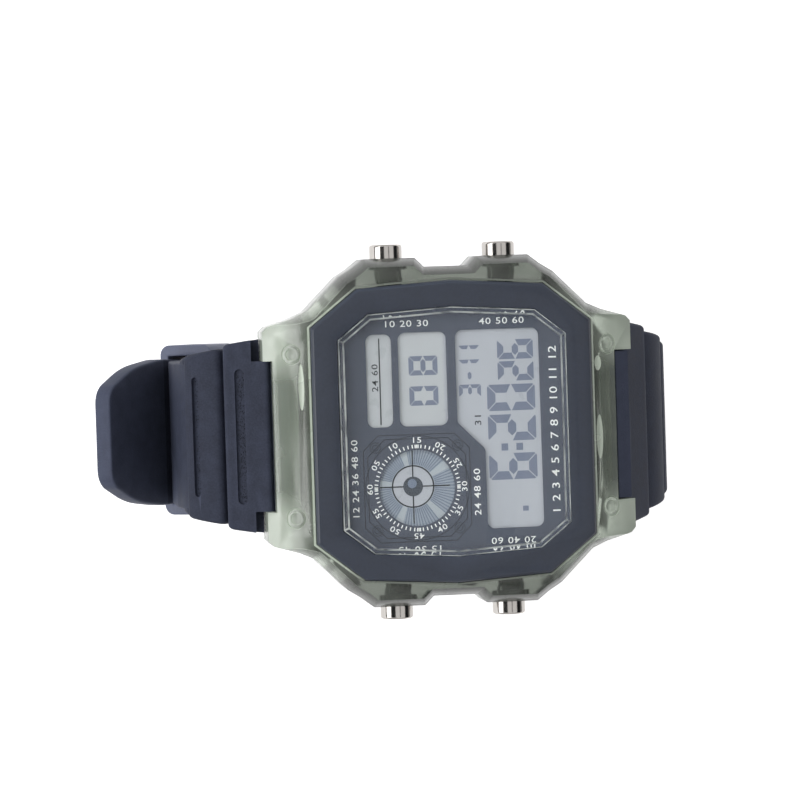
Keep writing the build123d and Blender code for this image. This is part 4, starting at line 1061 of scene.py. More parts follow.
def eye_tube(x, z, outer, half_length):
    """A tube across the band with rounded rims, about a place in the side view"""
    profile = [
        (EYE_HOLE, -half_length), (outer - EYE_EDGE, -half_length),
        (outer, EYE_EDGE - half_length), (outer, half_length - EYE_EDGE),
        (outer - EYE_EDGE, half_length), (EYE_HOLE, half_length),
    ]
    work = bmesh.new()
    rings = []
    for k in range(EYE_SIDES):
        angle = math.radians(360 * k / EYE_SIDES)
        across, up = math.cos(angle), math.sin(angle)
        rings.append([work.verts.new((x + r * across, y, z + r * up)) for r, y in profile])
    skin(work, rings + rings[:1], capped=False)
    bmesh.ops.recalc_face_normals(work, faces=work.faces)
    return mesh_of(work, "eye")


def bent_band(outlines, thickness, edge, runs, outward):
    """A flat band with rounded edges, bent along its route"""
    work = bmesh.new()
    work.from_mesh(flat_plate(outlines, thickness, edge))
    bmesh.ops.remove_doubles(work, verts=work.verts, dist=SAME_SPOT)
    wrapped(work, runs, outward)
    bmesh.ops.remove_doubles(work, verts=work.verts, dist=SAME_SPOT)
    bmesh.ops.recalc_face_normals(work, faces=work.faces)
    return mesh_of(work, "band")


def hole_outline(middle):
    """A rounded rectangle around a place along the band, run the other way round"""
    low, high = middle - HOLE_HALF_LENGTH, middle + HOLE_HALF_LENGTH
    width = HOLE_HALF_WIDTH
    points = [(low, -width), (low, width), (high, width), (high, -width)]
    return rounded_outline(points, [HOLE_CORNER] * 4, 3)


def grain_strip(matrix, total, index, strap, tree):
    """The rough grains on the floor of a block's slot"""
    half_length, width = BLOCK_SLOTS[index]
    rise, crown = BLOCKS[index][2:]
    mesh = run_tree(tree, {
        "Length": (width - GRAIN_CLEAR_ALONG) * MM,
        "Width": (2 * half_length - GRAIN_CLEAR_ACROSS) * MM,
        "Size": strap.grain_size, "Spacing": strap.grain_size * GRAIN_SPACING,
        "Seed": strap.grain_seed + index, "Finish": finish_of("strap_inner"),
    }, "grains")
    mesh.transform(Matrix.Scale(1 / MM, 4))
    floor = rise + crown / 2 - SLOT_DEPTH
    place = Matrix.Translation((total - SLOT_INSET - width / 2, 0, floor))
    mesh.transform(matrix @ place)
    return mesh


def strap_half(name, outlines, runs, outward, blocks, extras, strap, stands_for):
    """Build one half of the strap from its flat outlines, its blocks and its other pieces

    Each block has its origin, its heading and where it starts. outward is the sign of X at
    the half's end of the case."""
    thickness, edge = strap.thickness / MM, strap.band_edge / MM
    meshes = [bent_band(outlines, thickness, edge, runs, outward), *extras]
    tree = bpy.data.node_groups.get("slot_grains") or grain_tree()
    slotted = outward < 0
    grains = []
    for index, (origin, forward, start) in enumerate(blocks):
        mesh, total = raised_block(index, start, strap, slotted)
        out = Vector((-forward.y, forward.x)) * outward
        matrix = side_frame(origin + forward * start[0], forward, out)
        if slotted and index < len(BLOCK_SLOTS):
            grains.append(grain_strip(matrix, total, index, strap, tree))
        mesh.transform(matrix)
        if index == 0:
            mesh = cut_away(mesh, ear_cutters(outward))
        meshes.append(mesh)
    mesh = smooth(joined(meshes, name), STRAP_SMOOTH)
    # Faces of the free end take slot 1, the paler finish of painted light
    for face in mesh.polygons:
        if face.center.x < PAINTED_LIGHT_FROM:
            face.material_index = 1
    scene_object(name, mesh, ["strap", "strap_tip"], "case", [stands_for])
    if grains:
        grain = smooth(joined(grains, name + "_grains"), GRAIN_SMOOTH)
        scene_object(name + "_grains", grain, ["strap_inner"], "case")


def shoulder_run(angle):
    """How far down its heading the first block starts, so that its top stays off the ears' ends"""
    angle = math.radians(angle)
    return (EAR_END + SHOULDER_GAP - BAR_X - BLOCKS[0][2] * math.sin(angle)) / math.cos(angle)


class WatchOperator:
    """What the watch's operators share"""
    bl_options = {"REGISTER", "UNDO"}

    def execute(self, context):
        """Do the operator's own work"""
        self.build(context.scene)
        return {"FINISHED"}


class WATCH_OT_inner_finishes(WatchOperator, bpy.types.Operator):
    """Make the finishes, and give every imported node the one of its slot"""
    bl_idname = "watch.inner_finishes"
    bl_label = "Node finishes"

    def build(self, scene):
        finishes = make_materials()
        for part in frame["record"]["subparts"]:
            piece = frame["nodes"].get(part["node"])
            if piece is None:
                raise RuntimeError(f"no packed node named {part['node']}")
            piece.data.materials.clear()
            piece.data.materials.append(finishes[part["material_slot"]])
        scene["watch_finishes"] = {key: value.name for key, value in finishes.items()}


# The case's two end slopes: their lean in degrees, and where they start under the bezel plate
END_SLOPE = 28
SLOPE_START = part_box("bezel_plate")[1].x / MM + 0.1
CASE_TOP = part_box("case_shell")[1].z / MM
# The hood's end between the ears at 6 o'clock, how much is cut from it, and from what height up
HOOD_EDGE, HOOD_TRIM, TRIM_FLOOR, TRIM_CLEAR = 21.4, 1.2, 5, 0.1
# Oval dimples on the end slopes, whose faces take the lighter edge finish with its painted
# highlight: X, Y and half sizes; and how deep they go
DIMPLES = ((-18.2, 5.9, 0.38, 2.8), (17.9, 7.6, 0.5, 0.9), (17.9, -1.3, 0.5, 2.7))
DIMPLE_DEPTH = 0.22
# The outer walls begin here across and along, with faces and edges that are steeper than this;
# these take the painted shade
WALL_FROM, EAR_FROM = 17 * MM, 21 * MM
WALL_STEEP, WALL_EDGE_STEEP = 0.4, 0.75


def slope_height(x):
    """How high an end slope of the case lies at x"""
    return CASE_TOP - (abs(x) - SLOPE_START) * math.tan(math.radians(END_SLOPE))


class WATCH_OT_case(WatchOperator, bpy.types.Operator):
    """Dress the clear resin case with rounded edges, bright dimples and a trimmed hood"""
    bl_idname = "watch.case"
    bl_label = "Case"

    def build(self, scene):
        # The rounded edges take slot 1, the lighter edge finish, a painted highlight
        mesh = node_copy("case_shell", scene.watch_case.resin_edge, segments=2, edge_slot=1)
        trim = box_mesh(
            (HOOD_EDGE - HOOD_TRIM, -EAR_SLOT_HALF, TRIM_FLOOR),
            (EAR_END - TRIM_CLEAR, EAR_SLOT_HALF, CUT_HIGH),
        )
        trim.transform(Matrix.Scale(MM, 4))
        mesh = cut_away(mesh, [trim, *(self.dimple(*place) for place in DIMPLES)])
        for face in mesh.polygons:
            # Steep faces of the outer walls take the darker finish: painted shade
            outer = abs(face.center.y) > WALL_FROM or abs(face.center.x) > EAR_FROM
            limit = WALL_EDGE_STEEP if face.material_index else WALL_STEEP
            if outer and abs(face.normal.z) < limit:
                face.material_index = 2
        resin = ["resin", "resin_edge", "resin_wall"]
        scene_object("resin_case", smooth(mesh), resin, "case", ["case_shell"])

    @staticmethod
    def dimple(x, y, half_x, half_y):
        """A shallow oval cutter lying on an end slope of the case"""
        work = bmesh.new()
        bmesh.ops.create_uvsphere(work, u_segments=28, v_segments=14, radius=1)
        for face in work.faces:
            # The dimples' faces take slot 1, the edge finish with its painted highlight
            face.material_index = 1
        mesh = mesh_of(work, "dimple")
        for _ in range(2):
            mesh.materials.append(None)
        tilt = Matrix.Rotation(math.radians(math.copysign(END_SLOPE, x)), 4, "Y")
        size = Matrix.Diagonal((half_x * MM, half_y * MM, DIMPLE_DEPTH * MM, 1))
        place = Matrix.Translation(Vector((x, y, slope_height(x))) * MM)
        mesh.transform(place @ tilt @ size)
        return mesh


class WATCH_OT_bezel(WatchOperator, bpy.types.Operator):
    """Dress the bezel plate with rounded edges"""
    bl_idname = "watch.bezel"
    bl_label = "Bezel plate"

    def build(self, scene):
        mesh = node_copy("bezel_plate", scene.watch_case.bezel_edge)
        scene_object("painted_bezel", mesh, ["bezel"], "case", ["bezel_plate"])


# A quarter of the crystal's outline, and how far the bezel plate goes beyond it
GLASS_QUARTER = ((13.8, 11.4), (10.1, 14.35), (0, 15.0))
BEZEL_BAND = 3.2
# The crystal's painted glint lines: insets and widths, how deep they are sunk, and their thickness
PAINTED_GLINT_LINES, EDGE_SINK, EDGE_THICKNESS = ((0.07, 0.09), (0.55, 0.05)), 0.05, 0.06
# The resin's lip around the bezel plate: gap, width, how deep it is sunk and its height
LIP_GAP, LIP_WIDTH, LIP_SINK, LIP_HEIGHT = 0.2, 0.22, 0.4, 0.5
# An air gap over the dial's ink, as under a real crystal
AIR_GAP = 0.05 * MM


def glass_ring(grow):
    """The crystal's outline grown outwards with mitred corners, as right and up on the dial"""
    points = {(j * y, i * x) for x, y in GLASS_QUARTER for i in (-1, 1) for j in (-1, 1)}
    points = sorted(points, key=lambda point: math.atan2(point[1], point[0]))
    ring = []
    for here, a, b in corners_of(points):
        normal = Vector((a.y + b.y, -a.x - b.x)).normalized()
        ring.append(tuple(here + normal * grow / normal.dot(Vector((b.y, -b.x)))))
    return ring


class WATCH_OT_crystal(WatchOperator, bpy.types.Operator):
    """Dress the crystal with rounded edges and edge lines in a painted glint finish, and the lip
    around it
    """
    bl_idname = "watch.crystal"
    bl_label = "Crystal"

    def build(self, scene):
        # The crystal's rounded edges take slot 1, the painted glint
        mesh = node_copy("crystal", scene.watch_case.crystal_edge, segments=2, edge_slot=1)
        low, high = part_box("crystal")
        for vert in mesh.vertices:
            vert.co.z = max(vert.co.z, low.z + AIR_GAP)
        glass = ["crystal", "painted_glint_edge"]
        scene_object("polished_crystal", mesh, glass, "case", ["crystal"])
        # Thin bright lines just inside the crystal's outline: painted glints
        lines = [line for inset, width in PAINTED_GLINT_LINES for line in ribbon(glass_ring(-inset), width)]
        base = high.z / MM - EDGE_SINK
        layer("crystal_painted_glint_lines", lines, base, EDGE_THICKNESS, "painted_glint_edge")
        # The lip round the bezel plate takes the lighter edge finish, a painted highlight
        lip = ribbon(glass_ring(BEZEL_BAND + LIP_GAP), LIP_WIDTH)
        layer("resin_lip", lip, CASE_TOP - LIP_SINK, LIP_HEIGHT, "resin_edge")


# The pushers by their hour
PUSHERS = (2, 4, 8, 10)


class WATCH_OT_springs(WatchOperator, bpy.types.Operator):
    """Dress the pushers' return springs, each with a mesh of its own"""
    bl_idname = "watch.springs"
    bl_label = "Return springs"

    def build(self, scene):
        for place in PUSHERS:
            node = f"pusher_spring_{place}"
            spring, steel = f"return_spring_{place}", "spring_steel"
            piece = scene_object(spring, node_copy(node, 0), [steel], "case", [node])
            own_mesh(piece)


# Printing on the dial, in the frame's X and Y in millimetres
SUB_X, SUB_Y, SUB_RADIUS = -4.44, -6.66, 4.55
TICK_RADIUS, NUMERAL_RADIUS = 4.98, 5.7
QUARTERS = (0, 90, 180, 270)
# The bold ticks beside each quarter: degrees aside, half length and width
QUARTER_ASIDE, QUARTER_HALF, QUARTER_WIDTH = 2, 0.21, 0.13
# The faint frame around the seconds ring: two cut squares with half size and cut, and a ring
FRAME_SQUARES, FRAME_LINE, FRAME_RING = ((6.4, 1.8), (5.9, 2.05)), 0.1, 6.25
CORNER_MARK, CORNER_RINGS, CORNER_LINE = 4.95, (0.62, 0.34), 0.09
DIAL_SCALES = (
    # plain numbers, X, Y, clockwise turn, height
    ("12 24 36 48 60", -11.86, -5.4, 0, 0.78),
    ("1 2 3 4 5 6 7 8 9 10 11 12", 12.35, -0.3, 0, 0.95),
    ("24 48 60", 2.8, -7.4, 0, 0.8),
    ("10 20 30", -5.3, 12.95, 90, 0.78),
    ("40 50 60", 6.3, 12.95, 90, 0.78),
    ("20 40 60", 7.0, -13.3, -90, 0.78),
    ("15 30 45", -4.3, -13.95, -90, 0.78),
)


class WATCH_OT_dial_print(WatchOperator, bpy.types.Operator):
    """Print the seconds ring, its numerals, the plain scales and the faint frame on the dial"""
    bl_idname = "watch.dial_print"
    bl_label = "Dial printing"

    def build(self, scene):
        dial = scene.watch_dial
        lift = dial.ink_height / MM
        right, up = dial_place(SUB_X, SUB_Y)
        rows = []
        for step in range(12):
            seconds, angle = 5 * step or 60, 30 * step
            turn = angle + 180 if 20 <= seconds <= 40 else angle
            place = circle(NUMERAL_RADIUS, right, up, start=angle)[0]
            rows.append((f"{seconds:02d}", *place, turn, dial.numeral_height / MM))
        mesh = lettering("dial_numerals", rows + dial_rows(DIAL_SCALES), DIAL_TOP, lift)
        scene_object("dial_numerals", mesh, ["ink"], "case")
        tick = bar(0, TICK_RADIUS - QUARTER_HALF, 0, TICK_RADIUS + QUARTER_HALF, QUARTER_WIDTH)
        bold = []
        for angle in QUARTERS:
            for aside in (-QUARTER_ASIDE, QUARTER_ASIDE):
                bold += moved([tick], right, up, angle + aside)
        layer("quarter_ticks", bold, DIAL_TOP, lift, "ink")
        faint = ribbon(circle(FRAME_RING, sides=72), FRAME_LINE)
        for half, cut in FRAME_SQUARES:
            side = half - cut
            corners = [
                (half, side), (side, half), (-side, half), (-half, side),
                (-half, -side), (-side, -half), (side, -half), (half, -side),
            ]
            faint += ribbon(corners, FRAME_LINE)
        for x in (-CORNER_MARK, CORNER_MARK):
            for y in (-CORNER_MARK, CORNER_MARK):
                for radius in CORNER_RINGS:
                    faint += ribbon(circle(radius, x, y, 24), CORNER_LINE)
        faint = moved(faint, right, up)
        layer("dial_frame_lines", faint, DIAL_TOP, lift, "faint")
        ticks = run_tree(ring_tree(), {
            "Count": dial.tick_count, "Radius": TICK_RADIUS * MM, "Length": dial.tick_length,
            "Width": dial.tick_width, "Thickness": dial.ink_height, "Finish": finish_of("ink"),
        }, "seconds_ticks")
        middle = Vector((SUB_X, SUB_Y, DIAL_TOP + lift / 2)) * MM
        ticks.transform(Matrix.Translation(middle))
        scene_object("seconds_ticks", ticks, ["ink"], "case")


# Thickness of the display's segments; its other layers are counted in it
DISPLAY_LIFT = 0.02
DISPLAY_NUMBERS = (("24 60", -9.1, 6.6, 0, 0.75), ("31", 3.2, 1.25, 0, 0.8))
# Rows of digits: X, then width, height, stroke and gap, then each sign with its Y
DIGIT_ROWS = (
    (7.25, (3.15, 5.8, 1.0, 0.1), (("6", -4.5), ("2", 0.15), ("0", 3.75))),
    (7.9, (2.35, 4.35, 0.76, 0.08), (("2", 6.9), ("6", 9.5))),
    (2.3, (1.5, 2.65, 0.45, 0.05), (("3", 4.7), ("-", 6.5))),
    (2.3, (0.45, 2.65, 0.45, 0.05), (("1", 8.2), ("1", 9.9))),
    (-3.3, (2.3, 3.5, 0.6, 0.06), (("0", 4.3), ("8", 7.9))),
)
# Plain switched-on bars and a dark line: right and up of both ends, and width
SEGMENT_BARS = (
    (-2.6, -6.3, -1.75, -6.3, 0.8), (-2.6, -8.1, -1.75, -8.1, 0.8), (-9.9, -8.6, -9.3, -8.6, 0.7),
)
DARK_BAR = (1.0, 8.55, 11.3, 8.55, 0.14)
# The pale film behind the small windows: X, its ends in Y and its width
SMALL_WINDOWS_X, SMALL_WINDOWS_ENDS, SMALL_WINDOWS_WIDTH = -6.15, (-0.5, 12), 10.7
# The round sub-dial's pattern: middle, hub, inner and outer radius, fine lines and light sectors
PATTERN_X, PATTERN_Y = -4.94, -6.47
HUB_RADIUS, PATTERN_INNER, PATTERN_OUTER = 1.18, 2.5, SUB_RADIUS + 0.6
LINE_COUNT, LINE_WIDTH = 80, 0.13
LINE_MIDDLE, LINE_LENGTH = (PATTERN_OUTER + 2.6) / 2, PATTERN_OUTER - 2.7
LIGHT_SECTORS, LIGHT_SPREAD = (7, 75, 148, 227, 293), 12
# Dark lines of the pattern: its inner ring's radius and width, and a spoke
RING_RADIUS, RING_WIDTH = 2.47, 0.16
SPOKE = (0, 1.0, 0, SUB_RADIUS - 0.1, 0.15)
# The hub's painted highlight: radius, right and up
HUB_PAINTED_HIGHLIGHT = (0.55, 0.35, 0.1)


class WATCH_OT_displays(WatchOperator, bpy.types.Operator):
    """Switch on the segments of the display under the dial's windows"""
    bl_idname = "watch.displays"
    bl_label = "Displays"

    def build(self, scene):
        def show(name, outlines, depth, finish):
            """One layer on the display, with its depth in lifts"""
            layer(name, outlines, LCD_TOP, depth * DISPLAY_LIFT, finish)

        on = [bar(*ends) for ends in SEGMENT_BARS]
        for x, sizes, signs in DIGIT_ROWS:
            for sign, y in signs:
                on += moved(digit(sign, *sizes), *dial_place(x, y))
        show("display_segments", on, 1, "segment")
        ends = [place for y in SMALL_WINDOWS_ENDS for place in dial_place(SMALL_WINDOWS_X, y)]
        show("small_display_film", [bar(*ends, SMALL_WINDOWS_WIDTH)], 0.25, "pale_lcd")

        middle = dial_place(PATTERN_X, PATTERN_Y)
        ring = [sector(PATTERN_INNER, PATTERN_OUTER, 30 * k, 30) for k in range(12)]
        show("sub_dial_ring", moved(ring, *middle), 0.5, "sector")
        lines = run_tree(bpy.data.node_groups["ring_of_ticks"], {
            "Count": LINE_COUNT, "Radius": LINE_MIDDLE * MM,
            "Length": LINE_LENGTH * MM, "Width": LINE_WIDTH * MM,
            "Thickness": 1.4 * DISPLAY_LIFT * MM, "Finish": finish_of("sector_line"),
        }, "sub_dial_lines")
        place = Vector((PATTERN_X, PATTERN_Y, LCD_TOP + DISPLAY_LIFT / 2)) * MM
        lines.transform(Matrix.Translation(place))
        scene_object("sub_dial_lines", lines, ["sector_line"], "case")
        light = [
            sector(PATTERN_INNER, PATTERN_OUTER, turn - LIGHT_SPREAD / 2, LIGHT_SPREAD)
            for turn in LIGHT_SECTORS
        ]
        show("sub_dial_light_sectors", moved(light, *middle), 1.5, "sector_light")
        show("sub_dial_hub", moved([circle(HUB_RADIUS)], *middle), 2.2, "hub")
        dark = ribbon(circle(RING_RADIUS, sides=48), RING_WIDTH)
        for angle in QUARTERS:
            dark += moved([bar(*SPOKE)], 0, 0, angle)
        show("display_dark_lines", [*moved(dark, *middle), bar(*DARK_BAR)], 2, "black_ink")
        # A lighter spot on the dark hub: a painted highlight
        painted_hub_highlight = moved([circle(*HUB_PAINTED_HIGHLIGHT, 24)], *middle)
        show("sub_dial_hub_painted_highlight", painted_hub_highlight, 2.5, "sector_line")

        mesh = lettering("display_numbers", dial_rows(DISPLAY_NUMBERS), LCD_TOP, DISPLAY_LIFT)
        scene_object("display_numbers", mesh, ["black_ink"], "case")


# The strap's tongue under the trimmed hood: its low and high corner, and how far out and down it is
TONGUE = ((-HOOD_TRIM, -8.9, -2.2), (0.7, 8.9, 0))
TONGUE_OUT, TONGUE_DOWN = 0.05, 0.25


class WATCH_OT_strap(WatchOperator, bpy.types.Operator):
    """Mould the two halves of the strap with their raised blocks, slots, holes and tail"""
    bl_idname = "watch.strap"
    bl_label = "Strap"

    def build(self, scene):
        strap = scene.watch_strap
        half = strap.half_width / MM
        fold = self.long_half(strap, half)
        self.short_half(strap, half, fold)

    def long_half(self, strap, half):
        """The half with the holes and the free tail; gives the place of its fold"""
        runs = long_route()
        fold_end = sum(run[3] for run in runs[:-1])
        lower = [(fold_end + reach, -half - wider) for reach, wider, _ in TAIL_OUTLINE]
        lower = [(EYE_WALL, -half), *lower]
        radii = [0, *(radius for *_, radius in TAIL_OUTLINE)]
        outline = lower + [(x, -y) for x, y in reversed(lower)]
        outlines = [rounded_outline(outline, radii + radii[::-1], 6)]
        first_hole = sum(run[3] for run in runs[:3]) + HOLE_FIRST
        outlines += [hole_outline(first_hole - step * HOLE_PITCH) for step in range(HOLE_COUNT)]
        shoulder = shoulder_run(DROP_ANGLE)
        start, down = Vector((BAR_X, BAR_Z)), unit(-DROP_ANGLE)
        third_start = shoulder + sum(LONG_LENGTHS[:2]) + THIRD_GAP
        third_middle = third_start + LONG_LENGTHS[2] / 2 - DROP_LENGTH
        third_heading = unit(-DROP_ANGLE - math.degrees(third_middle / SIDE_RADIUS))
        blocks = [
            (start, down, (0, shoulder)),
            (start, down, (shoulder + LONG_LENGTHS[0], 0)),
            (Vector(place_on(runs, third_start)[:2]), third_heading, (0, 0)),
        ]
        tongue = box_mesh(*TONGUE)
        tongue.transform(Matrix.Rotation(math.radians(END_SLOPE), 4, "Y"))
        edge = HOOD_EDGE + TONGUE_OUT
        tongue.transform(Matrix.Translation((edge, 0, slope_height(edge) - TONGUE_DOWN)))
        extras = [eye_tube(BAR_X, BAR_Z, EYE_OUTER, half), tongue]
        name, node = "strap_long_half", "strap_long"
        strap_half(name, outlines, runs, 1, blocks, extras, strap, node)
        return Vector(place_on(runs, fold_end)[:2])

    def short_half(self, strap, half, fold):
        """The half with the slotted blocks, which ends at the buckle's bar"""
        runs, (start, first, second, side) = short_route(fold)
        total = sum(run[3] for run in runs)
        end = total - BUCKLE_STOP
        outlines = [[(EYE_WALL, -half), (end, -half), (end, half), (EYE_WALL, half)]]
        shoulder = shoulder_run(SHORT_FIRST[0])
        blocks = [
            (start, unit(180 + SHORT_FIRST[0]), (BLOCK_ROOT, shoulder - BLOCK_ROOT)),
            (first, unit(180 + SHORT_SECOND[0]), (0, 0)),
            (second, (side - second).normalized(), (0, 0)),
        ]
        pin = Vector(place_on(runs, total)[:2]) + unit(SLOPE_BOTTOM + 90) * BUCKLE_BAR_RISE
        extras = [
            eye_tube(-BAR_X, BAR_Z, EYE_OUTER, half),
            eye_tube(pin.x, pin.y, BUCKLE_EYE_OUTER, half),
        ]
        name, node = "strap_short_half", "strap_short"
        strap_half(name, outlines, runs, -1, blocks, extras, strap, node)


# Rounding of the edges of the keeper, the buckle's frame and its tongue
KEEPER_EDGE, BUCKLE_EDGE, TONGUE_EDGE = 0.4 * MM, 0.3 * MM, 0.15 * MM


class WATCH_OT_keeper(WatchOperator, bpy.types.Operator):
    """Mould the keeper loop with soft corners"""
    bl_idname = "watch.keeper"
    bl_label = "Keeper"

    def build(self, scene):
        mesh = node_copy("keeper_loop", KEEPER_EDGE)
        scene_object("keeper", mesh, ["keeper"], "keeper", ["keeper_loop"])


class WATCH_OT_buckle(WatchOperator, bpy.types.Operator):
    """Dress the buckle's frame and tongue with rounded edges"""
    bl_idname = "watch.buckle"
    bl_label = "Buckle"

    def build(self, scene):
        mesh = node_copy("buckle_frame", BUCKLE_EDGE)
        scene_object("buckle_arms", mesh, ["strap"], "buckle", ["buckle_frame"])
        mesh, steel = node_copy("buckle_tongue", TONGUE_EDGE), "spring_steel"
        scene_object("buckle_pin_tongue", mesh, ["buckle"], "tongue", ["buckle_tongue"])


# Where the photograph was taken from: the view's direction, its roll and the place it aims at
VIEW_POINT = Vector((0, 0, 12.2)) * MM
VIEW_DIRECTION = Vector((-0.149, 0.042, 1)).normalized()
VIEW_ROLL = 1.8
VIEW_AIM = (-6.6, 3.78)
# Half size of the floor and how far it lies under the watch
FLOOR_REACH, FLOOR_GAP = 0.9, 0.0001
# Rays to which the floor and the surroundings look white
SEEN_RAYS = ("Is Camera Ray", "Is Transmission Ray", "Is Glossy Ray")
# Dark cards beside the view, which only reflections see: place and half width
CARDS = (((-0.24, 0, 0.39), 0.12), ((0.12, 0, 0.44), 0.018), ((0.42, 0, 0.2), 0.12))
CARD_HALF_LENGTH = 0.3


def seen_ray(tree, path):
    """Whether a ray is one to which the surroundings look white"""
    camera, through, gloss = (path.outputs[kind] for kind in SEEN_RAYS)
    return reckoned(tree, "MAXIMUM", reckoned(tree, "MAXIMUM", camera, through), gloss)


def sheet(name, corners, material):
    """A flat sheet of the stage"""
    mesh = bpy.data.meshes.new(name)
    mesh.from_pydata(corners, [], [(0, 1, 2, 3)])
    mesh.materials.append(material)
    return placed(name, mesh)


def point_at_middle(piece, place):
    """Stand a lamp or a card at a place, turned towards the watch"""
    piece.location = place
    piece.rotation_euler = Vector(place).to_track_quat("Z", "Y").to_euler()


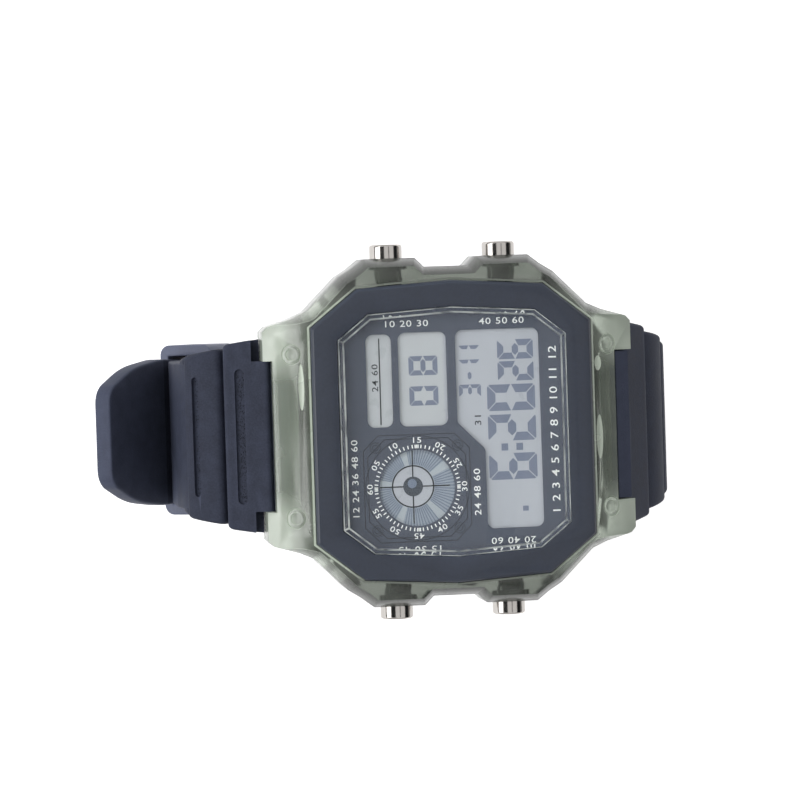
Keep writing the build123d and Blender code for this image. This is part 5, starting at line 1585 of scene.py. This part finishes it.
class WATCH_OT_stage(WatchOperator, bpy.types.Operator):
    """Set up the floor, the lamps, the white surroundings and the camera"""
    bl_idname = "watch.stage"
    bl_label = "Stage"

    def build(self, scene):
        self.make_floor()
        self.make_world(scene)
        self.make_lamps(scene.watch_stage)
        self.make_dark_cards()
        self.make_camera(scene)
        scene.view_settings.view_transform = "Standard"

    def make_floor(self):
        """A pale seamless table top that keeps the shadow and stays white to the camera"""
        material, tree, place = new_material("white_table_top")
        paper = principled(tree, {
            "Base Color": rgba(linear("#f2f2f2")), "Specular IOR Level": 0.1,
            "Roughness": mapped(tree, noise(tree, place, 40), 0, 1, 0.85, 0.95),
        })
        white = add_node(tree, "ShaderNodeEmission", {"Color": (1, 1, 1, 1), "Strength": 0.7})
        lit = add_node(tree, "ShaderNodeAddShader", {0: paper, 1: white.outputs[0]})
        seen = seen_ray(tree, add_node(tree, "ShaderNodeLightPath"))
        finish_material(material, tree, shader_mix(tree, seen, paper, lit.outputs[0]))
        height, sides = CAD_LOW.z - FLOOR_GAP, ((-1, -1), (1, -1), (1, 1), (-1, 1))
        corners = [(x * FLOOR_REACH, y * FLOOR_REACH, height) for x, y in sides]
        sheet("table_top", corners, material)

    def make_world(self, scene):
        """White to the camera, softer as light, and darker at the horizon in gloss and glass"""
        world = bpy.data.worlds.new("white_room")
        world.use_nodes = True
        tree = world.node_tree
        tree.nodes.clear()
        path = add_node(tree, "ShaderNodeLightPath")
        soft = {"Color": (1, 1, 1, 1), "Strength": scene.watch_stage.sky_light}
        soft = add_node(tree, "ShaderNodeBackground", soft).outputs[0]
        way = add_node(tree, "ShaderNodeTexCoord").outputs["Generated"]
        height = add_node(tree, "ShaderNodeSeparateXYZ", {"Vector": way}).outputs["Z"]
        room = mapped(tree, height, 0.05, 0.45, 0.12, 1)
        level = reckoned(tree, "MAXIMUM", path.outputs["Is Camera Ray"], room)
        white = {"Color": (1, 1, 1, 1), "Strength": level}
        white = add_node(tree, "ShaderNodeBackground", white).outputs[0]
        surface = shader_mix(tree, seen_ray(tree, path), soft, white)
        add_node(tree, "ShaderNodeOutputWorld", {"Surface": surface})
        scene.world = world

    def make_lamps(self, stage):
        """A large soft lamp above the upper left, and two weaker ones at the sides"""
        lamps = (
            # name, power, place and size
            ("key_lamp", stage.key_power, (-0.42, 0.2, 0.5), 0.5),
            ("left_lamp", stage.fill_power, (-0.6, -0.1, 0.25), 0.35),
            ("right_lamp", stage.fill_power / 20, (0.55, 0.25, 0.3), 0.35),
        )
        for name, power, place, size in lamps:
            lamp = bpy.data.lights.new(name, "AREA")
            lamp.energy = power
            lamp.size = size
            point_at_middle(placed(name, lamp), place)

    def make_dark_cards(self):
        """Dark cards that only reflections see, for depth in the polished metal"""
        material, tree, place = new_material("black_felt")
        felt = principled(tree, {
            "Base Color": rgba(linear("#202225")), "Specular IOR Level": 0.1,
            "Roughness": mapped(tree, noise(tree, place, 2), 0, 1, 0.9, 1),
        })
        finish_material(material, tree, felt)
        sides = ((-1, -1), (-1, 1), (1, 1), (1, -1))
        for index, (place, half) in enumerate(CARDS):
            corners = [(x * CARD_HALF_LENGTH, y * half, 0) for x, y in sides]
            card = sheet(f"dark_card_{index}", corners, material)
            point_at_middle(card, place)
            for ray in ("camera", "diffuse", "transmission", "shadow"):
                setattr(card, f"visible_{ray}", False)

    def make_camera(self, scene):
        """The photograph's view of the dial"""
        backward = VIEW_DIRECTION
        level = Vector((0, 1, 0)).cross(backward).normalized()
        upward = backward.cross(level)
        roll = math.radians(VIEW_ROLL)
        right = level * math.cos(roll) - upward * math.sin(roll)
        up = backward.cross(right)
        eye = VIEW_POINT + backward * scene.watch_stage.distance
        aim = VIEW_POINT + (right * VIEW_AIM[0] + up * VIEW_AIM[1]) * MM
        backward = (eye - aim).normalized()
        right = up.cross(backward).normalized()
        up = backward.cross(right)
        camera = bpy.data.cameras.new("photo_view")
        camera.lens = scene.watch_stage.lens
        camera.sensor_width = 36
        camera.clip_start, camera.clip_end = 0.01, 10
        holder = placed("photo_view", camera)
        turn = Matrix((right, up, backward)).transposed().to_4x4()
        holder.matrix_world = Matrix.Translation(eye) @ turn
        scene.camera = holder


OPERATORS = (
    WATCH_OT_inner_finishes, WATCH_OT_case, WATCH_OT_bezel, WATCH_OT_crystal, WATCH_OT_springs,
    WATCH_OT_dial_print, WATCH_OT_displays, WATCH_OT_strap, WATCH_OT_keeper, WATCH_OT_buckle,
    WATCH_OT_stage,
)


class WATCH_PT_panel(bpy.types.Panel):
    """Sizes, colours and steps of the watch"""
    bl_idname = "WATCH_PT_panel"
    bl_label = "Digital watch"
    bl_space_type = "VIEW_3D"
    bl_region_type = "UI"
    bl_category = "Watch"

    def draw(self, context):
        scene = context.scene
        for settings in (scene.watch_case, scene.watch_dial, scene.watch_strap, scene.watch_stage):
            box = self.layout.box()
            for key in settings.bl_rna.properties.keys():
                if key not in ("rna_type", "name"):
                    box.prop(settings, key)
        for operator in OPERATORS:
            self.layout.operator(operator.bl_idname)


SETTINGS = {
    "watch_case": CaseSettings, "watch_dial": DialSettings,
    "watch_strap": StrapSettings, "watch_stage": StageSettings,
}
CLASSES = (*SETTINGS.values(), *OPERATORS, WATCH_PT_panel)


def register():
    """Register the classes and their settings"""
    for kind in CLASSES:
        bpy.utils.register_class(kind)
    for key, kind in SETTINGS.items():
        setattr(bpy.types.Scene, key, PointerProperty(type=kind))


def unregister():
    """Remove the classes and their settings"""
    for key in SETTINGS:
        delattr(bpy.types.Scene, key)
    for kind in reversed(CLASSES):
        bpy.utils.unregister_class(kind)


def main():
    """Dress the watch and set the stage"""
    register()
    for operator in OPERATORS:
        group, action = operator.bl_idname.split(".")
        getattr(getattr(bpy.ops, group), action)()


if __name__ == "__main__":
    main()
